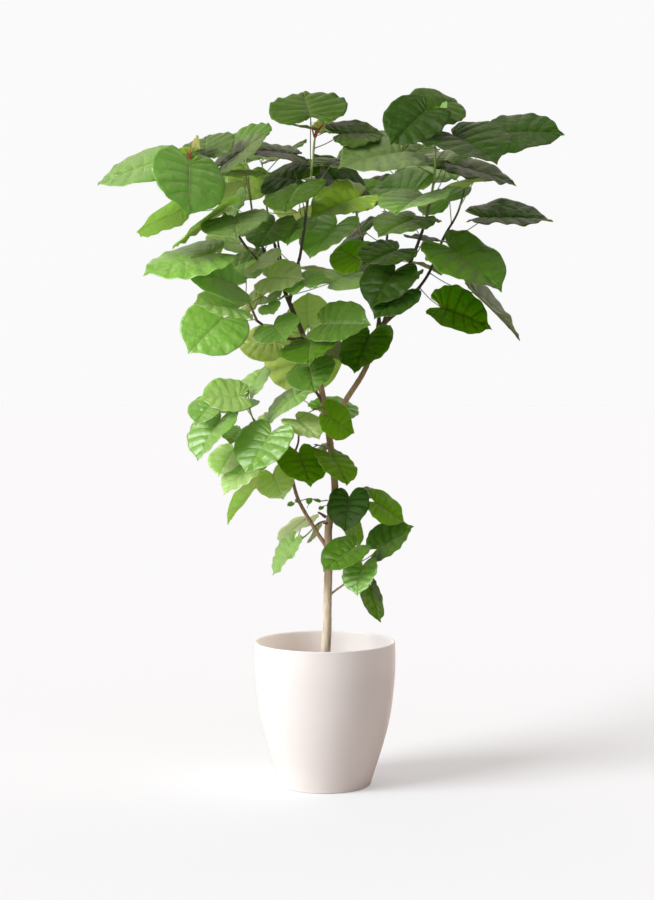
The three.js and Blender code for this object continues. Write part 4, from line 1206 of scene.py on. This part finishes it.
def add_stems():
    """The masses' stems, with a knot where each stalk leaves, each face in its nearest mark's tone."""
    lines, marks = [], []
    for name, mass in MASSES.items():
        for stem in mass["stems"]:
            length = path_length(stem["path"])
            count = max(6, round(length / STEM_STEP))
            points = even_points(stem["path"], count)
            share = np.linspace(0, 1, count + 1)
            radius = from_to(stem["radius"], share)
            start = stem.get("start", STALK_START)
            last = len(stem["leaves"]) - 1
            for i in range(last + 1):
                knot = start + (1 - start) * i / last
                radius = radius + KNOT_HEIGHT * bell((share - knot) * length, KNOT_WIDTH)
            lines.append((points, radius))
            tall = points[-1][2] - points[0][2] > TALL
            dark, olive = DARK_SHARES.get(name, USUAL_SHARES)
            for place, k in zip(points, share):
                if tall:
                    tone = DARK_TWIG if k < dark else OLIVE_TWIG if k < olive else GREEN_TWIG
                else:
                    tone = BROWN_TWIG if k < BROWN_SHARE else GREEN_TWIG
                marks.append((*place, tone))
    mesh = swept("twigs", lines, 2, *twig_paints)
    roughened(mesh, *STEM_ROUGHNESS)
    marks = np.array(marks)
    centres = np.empty(len(mesh.polygons) * 3, np.float32)
    mesh.polygons.foreach_get("center", centres)
    tones = []
    for block in np.array_split(centres.reshape(-1, 3) / MM, BLOCKS):
        apart = np.linalg.norm(block[:, None] - marks[None, :, :3], axis=-1)
        tones.append(marks[apart.argmin(1), 3])
    mesh.polygons.foreach_set("material_index", np.concatenate(tones).astype(np.int32))
    show("twigs", mesh, "twig")


add_stems()

# Red sheaths and dried scales at the shoots' tips, the thin low twig, and short stubs
SHEATHS = [([(-305, -120, 1450), (-309, -121, 1462), (-317, -124, 1476)], (2.6, 0.4)),
           ([(-303, -121, 1452), (-304, -124, 1466), (-300, -127, 1479)], (2.2, 0.4)),
           ([(-22, -60, 1508), (-14, -66, 1524), (2, -74, 1541)], (3.0, 0.8)),
           ([(-24, -60, 1508), (-29, -68, 1526), (-30, -73, 1542)], (2.6, 0.5)),
           ([(249, -92, 1530), (245, -99, 1546), (241, -104, 1560)], (3.2, 0.5))]
DRY_SCALES = [([(252, -92, 1534), (262, -97, 1545), (280, -101, 1556), (293, -103, 1550)], (1.8, 0.8)),
              ([(252, -92, 1532), (264, -96, 1536), (268, -99, 1548)], (1.6, 0.6)),
              ([(-306, -119, 1452), (-297, -123, 1470), (-290, -126, 1483)], (1.8, 0.6))]
LOW_TWIG = [([(7, -2, 670), (-16, -1, 668), (-35, 0, 674), (-56, 0, 669), (-76, 0, 663)], (1.5, 0.9)),
            ([(-35, 0, 674), (-38, 0, 662), (-42, -1, 651)], (0.9, 0.6)),
            ([(6, -6, 659), (-2, -8, 657), (-9, -9, 655)], (1.1, 0.7))]
BROWN_STUBS = [([(2, -3, 630), (-9, -4, 638), (-17, -4, 642)], (4.2, 2.0)),
               ([(-82, -27, 765), (-68, -33, 790), (-62, -35, 808), (-61, -35, 824)], (2.8, 2.4)),
               ([(9, -4, 618), (1, -9, 616), (-4, -11, 618)], (3.2, 2.4))]
DETAIL_STEPS = 12
BUD_LENGTH = 15
BUD_PLACES = (0.35, 0.7, 1)
BUD_RADII = [2.3, 1.4, 0.2]
BUD_SINKS = 2
BUD_FOOT = 0.9  # its radius there, as a share of the stem's


def tip_buds():
    """A pointed bud at the end of each shoot."""
    buds = []
    for mass in MASSES.values():
        for stem in mass["stems"]:
            end, before = np.array(stem["path"][-1], float), np.array(stem["path"][-2], float)
            way = (end - before) / np.linalg.norm(end - before)
            points = [end - way * BUD_SINKS, *[end + way * BUD_LENGTH * place for place in BUD_PLACES]]
            buds.append((points, [stem["radius"][1] * BUD_FOOT, *BUD_RADII]))
    return buds


DETAILS = {
    "tip_sheaths": (tapered(SHEATHS, DETAIL_STEPS), grained("sheath_red", (0.42, 0.07, 0.03), 0.5)),
    "dry_scales": (tapered(DRY_SCALES, DETAIL_STEPS), grained("scale_dry", (0.26, 0.19, 0.05), 0.7)),
    "low_twig": (tapered(LOW_TWIG, DETAIL_STEPS), twig_paints[GREEN_TWIG]),
    "stem_stubs": (tapered(BROWN_STUBS, DETAIL_STEPS), grained("stub_brown", (0.15, 0.075, 0.045), 0.75)),
    "tip_buds": (tip_buds(), grained("bud_green", (0.13, 0.2, 0.05), 0.5)),
}
for piece_name, (lines, material) in DETAILS.items():
    show(piece_name, swept(piece_name, lines, 2, material), "twig")

STALKS = {False: ("stalks_green", grained("stalk_green", (0.3, 0.42, 0.12), 0.45)),
          True: ("stalks_olive", grained("stalk_olive", (0.13, 0.17, 0.055), 0.5))}
STALK_ARCH = 0.05
STALK_SEED = (991, 17, 3)  # factors for the leaf's number and its name's length, and a start
STALK_SWAYS = (-1, 1)
STALK_SAGS = (-0.6, 0.3)
STALK_STEPS = 12
STALK_WIDTH = 1.15
STALK_FOOT = (0.75, 6)  # how much thicker at the foot, and over what length
STALK_NECK = (0.35, 5)
STALK_SINKS = (0.6, 3, 0.5)  # how far its end lies under the blade and runs on there, and its radius
DARK_STALKS = "ndomkvest"  # tones of leaves with an olive stalk


def stalk_line(leaf):
    """A stalk from the stem to the blade, bowed a little its own way."""
    by_number, by_name, more = STALK_SEED
    under, runs_on, end_radius = STALK_SINKS
    draw = seeded_draw(leaf["number"] * by_number + len(leaf["name"]) * by_name + more)
    way = leaf["joint"] - leaf["up"] * under - leaf["foot"]
    length = np.linalg.norm(way)
    arch = np.cross(way / length, leaf["side"])
    arch = arch * draw(*STALK_SWAYS) + np.array([0, 0, 1.0]) * draw(*STALK_SAGS)
    t = np.linspace(0, 1, STALK_STEPS + 1)
    bow = STALK_ARCH * length * np.sin(math.pi * t)
    points = leaf["foot"] + way * t[:, None] + arch * bow[:, None]
    radius = (STALK_WIDTH + STALK_FOOT[0] * np.exp(-t * length / STALK_FOOT[1])
              + STALK_NECK[0] * np.exp(-(1 - t) * length / STALK_NECK[1]))
    return [*points, points[-1] + leaf["along"] * runs_on], [*radius, end_radius]


for is_dark, (piece_name, material) in STALKS.items():
    lines = [stalk_line(leaf) for leaf in leaves if (leaf["tone"] in DARK_STALKS) == is_dark]
    show(piece_name, swept(piece_name, lines, 1, material), "leaf")


# Planter

def pot_lines():
    """Points of the planter's outer side from foot to rim."""
    path = [(r, 0, z) for r, z in [(FOOT_RADIUS + FOOT_ROUND, FOOT_ROUND), *POT_PROFILE]]
    fine = curve_points(path, POT_RINGS)
    return [(p[0], p[2]) for p in fine]


def round_corner(centre, radius, start, stop, steps):
    turns = [math.radians(a) for a in np.linspace(start, stop, steps)]
    return [(centre[0] + radius * math.cos(a), centre[1] + radius * math.sin(a)) for a in turns]


def spun(name, profile, sides):
    """A profile of radius and height turned about the upright axis."""
    bm = bmesh.new()
    verts = [bm.verts.new((r * MM, 0, z * MM)) for r, z in profile]
    edges = [bm.edges.new(pair) for pair in zip(verts, verts[1:])]
    bmesh.ops.spin(bm, geom=verts + edges, cent=(0, 0, 0), axis=(0, 0, 1), angle=TURN, steps=sides,
                   use_merge=True)
    bmesh.ops.remove_doubles(bm, verts=bm.verts[:], dist=LEAST_EDGE)
    bmesh.ops.recalc_face_normals(bm, faces=bm.faces[:])
    mesh = mesh_of(name, bm)
    mesh.polygons.foreach_set("use_smooth", np.ones(len(mesh.polygons), bool))
    return mesh


# Moulded plastic that lets a little light through: colour, roughness, and how much, how deep and in
# which colour the light goes through. The inside is a paler, warmer copy of the plastic that lets more
# light through: painted light that lifts the shade on the inner wall above the soil
GLAZES = {"planter_plastic": ((0.73, 0.715, 0.71), 0.22, 0.35, 0.009, (1.0, 0.95, 0.92)),
          "planter_inside_painted_light": ((0.84, 0.81, 0.79), 0.3, 1.0, 0.02, (1.0, 0.84, 0.72))}
FOOT_CORNER = (-90, -8, 6)  # degrees from and to, and points
LIP_CORNER = (0, 180, 13)


def add_pot():
    outer = pot_lines()
    foot = round_corner((FOOT_RADIUS, FOOT_ROUND), FOOT_ROUND, *FOOT_CORNER)
    half = POT_WALL / 2
    lip = round_corner((outer[-1][0] - half, POT_HEIGHT - half), half, *LIP_CORNER)
    hollow = [(FOOT_RADIUS - inward, height) for inward, height in HOLLOW]
    inner = [(r - POT_WALL, z) for r, z in reversed(outer[2:])]
    profile = [(0, HOLLOW[0][1]), *hollow, *foot, *outer, *lip, *inner, (FOOT_RADIUS, POT_FLOOR),
               (0, POT_FLOOR)]
    mesh = spun("planter", profile, POT_SIDES)
    for name, (colour, roughness, weight, scale, radius) in GLAZES.items():
        mesh.materials.append(grained(name, colour, roughness, PLASTIC_GRAIN, Subsurface_Weight=weight,
                                      Subsurface_Scale=scale, Subsurface_Radius=radius))
    # Inward faces above the soil take the paler inside copy: painted light on the inner wall's shade
    for face in mesh.polygons:
        inward = face.normal.x * face.center.x + face.normal.y * face.center.y < 0
        face.material_index = int(inward and face.center.z > SOIL_TOP * MM)
    show("planter", mesh, "pot", ["pot"])


add_pot()

SOIL_SIDES = 120
SOIL_RINGS = 46
SOIL_BOTTOM = POT_FLOOR + 1
SOIL_WALL_START = POT_FLOOR + 4
SOIL_CORNER = 2
SOIL_SPREAD = 0.6
LUMPS = ((45, 3.5), (160, 2.0), (420, 1.2))  # how close they are, per metre, and how tall
SOIL_COLOURS = [(0.35, (0.012, 0.008, 0.005)), (0.68, (0.075, 0.05, 0.03))]
SOIL_RELIEF = (0.8, 0.002)


def soil_edge():
    """Points of the soil's side against the planter's wall."""
    return [(r - POT_WALL - SOIL_CLEAR, z) for r, z in pot_lines() if SOIL_WALL_START < z < SOIL_TOP]


def add_soil():
    """Potting mix: a lumpy plug."""
    wall = soil_edge()
    rings = np.linspace(wall[-1][0] + SOIL_SPREAD, 0, SOIL_RINGS)
    profile = [(0, SOIL_BOTTOM), (wall[0][0] - SOIL_CORNER, SOIL_BOTTOM), *wall,
               *[(r, SOIL_TOP) for r in rings]]
    mesh = spun("soil_mix", profile, SOIL_SIDES)
    for vert in mesh.vertices:
        if vert.co.z > (SOIL_TOP - 1) * MM:
            lump = sum(noise.noise(vert.co * close) * tall for close, tall in LUMPS)
            vert.co.z += (lump - 1) * MM
    soil = paint("potting_mix", (0.03, 0.02, 0.012), 0.95)
    crumbs = grain(soil, Scale=260, Detail=6, Roughness=0.7)
    wire(soil, ramp(soil, crumbs, SOIL_COLOURS), shader_of(soil).inputs["Base Color"])
    relief(soil, crumbs, *SOIL_RELIEF)
    mesh.materials.append(soil)
    show("soil_mix", mesh, "soil", ["soil"])


add_soil()

CHIPS = 420
CHIP_SEED = 4127
CHIP_SPOTS = (0.004, 1)
CHIP_MARGIN = 8
CHIP_SIZES = (1.8, 5.5)
CHIP_WIDTHS = (0.5, 0.9)
CHIP_DEPTHS = (0.25, 0.5)
CHIP_TIPS = (-0.5, 0.5)
CHIP_HEIGHTS = (-0.5, 2)
CHIP_TONES = (0, 2.999)
CHIP_COLOURS = {"chip_dark": (0.03, 0.018, 0.01), "chip_brown": (0.09, 0.045, 0.022),
                "chip_tan": (0.16, 0.1, 0.055)}


def add_chips():
    """Loose chips of bark on the soil."""
    reach = soil_edge()[-1][0] + SOIL_SPREAD - CHIP_MARGIN
    draw = seeded_draw(CHIP_SEED)
    bm = bmesh.new()
    for _ in range(CHIPS):
        angle, far = draw(0, TURN), math.sqrt(draw(*CHIP_SPOTS)) * reach
        size = draw(*CHIP_SIZES) * MM
        turn = Matrix.Rotation(draw(0, TURN), 4, "Z") @ Matrix.Rotation(draw(*CHIP_TIPS), 4, "X")
        place = Matrix.Translation((far * math.cos(angle) * MM, far * math.sin(angle) * MM,
                                    (SOIL_TOP + draw(*CHIP_HEIGHTS)) * MM))
        shape = Matrix.Diagonal((size, size * draw(*CHIP_WIDTHS), size * draw(*CHIP_DEPTHS), 1))
        made = bmesh.ops.create_icosphere(bm, subdivisions=1, radius=1, matrix=place @ turn @ shape)
        tone = int(draw(*CHIP_TONES))
        for face in {face for vert in made["verts"] for face in vert.link_faces}:
            face.material_index = tone
    mesh = mesh_of("bark_chips", bm)
    for name, colour in CHIP_COLOURS.items():
        mesh.materials.append(grained(name, colour, 0.9))
    show("bark_chips", mesh, "soil")


add_chips()


# Floor, room and light

def set_floor():
    bm = bmesh.new()
    bmesh.ops.create_grid(bm, x_segments=1, y_segments=1, size=FLOOR_SIZE)
    mesh = mesh_of("floor", bm)
    floor = placed("floor", mesh)
    white = paint("floor_white", FLOOR_COLOUR, FLOOR_ROUGHNESS, Specular_IOR_Level=0.0,
                  Emission_Color=(*WHITE, 1), Emission_Strength=FLOOR_GLOW)
    bounce = node(white, "ShaderNodeBsdfDiffuse", Color=(*FLOOR_BOUNCE, 1))
    surface = white.node_tree.nodes["Material Output"].inputs["Surface"]
    seen_or_felt(white, bounce.outputs["BSDF"], shader_of(white).outputs["BSDF"], surface)
    mesh.materials.append(white)


def seen_or_felt(owner, felt, seen, target):
    """One shader for the light that a surface or the world gives, and one for what the viewer sees."""
    ray = node(owner, "ShaderNodeLightPath")
    mixed = node(owner, "ShaderNodeMixShader")
    wire(owner, ray.outputs["Is Camera Ray"], mixed.inputs["Fac"])
    wire(owner, felt, mixed.inputs[1])
    wire(owner, seen, mixed.inputs[2])
    wire(owner, mixed.outputs["Shader"], target)


def set_lamps():
    for name, light in KEYS.items():
        data = bpy.data.lights.new(name, "SUN")
        data.energy = light["strength"]
        data.angle = math.radians(light["width"])
        lamp = placed(name, data)
        lamp.rotation_euler = Vector(light["from"]).to_track_quat("Z", "Y").to_euler()


def set_room():
    world = bpy.data.worlds.new("room")
    world.use_nodes = True
    bpy.context.scene.world = world
    room = world.node_tree.nodes["Background"]
    room.inputs["Color"].default_value = (*ROOM_TINT, 1)
    parts = node(world, "ShaderNodeSeparateXYZ")
    wire(world, node(world, "ShaderNodeTexCoord").outputs["Generated"], parts.inputs["Vector"])
    strength = spread(world, parts.outputs["Y"], *SWEEP_EDGE, ROOM_LIGHT, SWEEP_LIGHT)
    wire(world, strength, room.inputs["Strength"])
    back = node(world, "ShaderNodeBackground", Color=(*WHITE, 1), Strength=BACKGROUND)
    surface = world.node_tree.nodes["World Output"].inputs["Surface"]
    seen_or_felt(world, room.outputs["Background"], back.outputs["Background"], surface)


set_floor()
set_lamps()
set_room()
bpy.context.scene.view_settings.view_transform = "Standard"
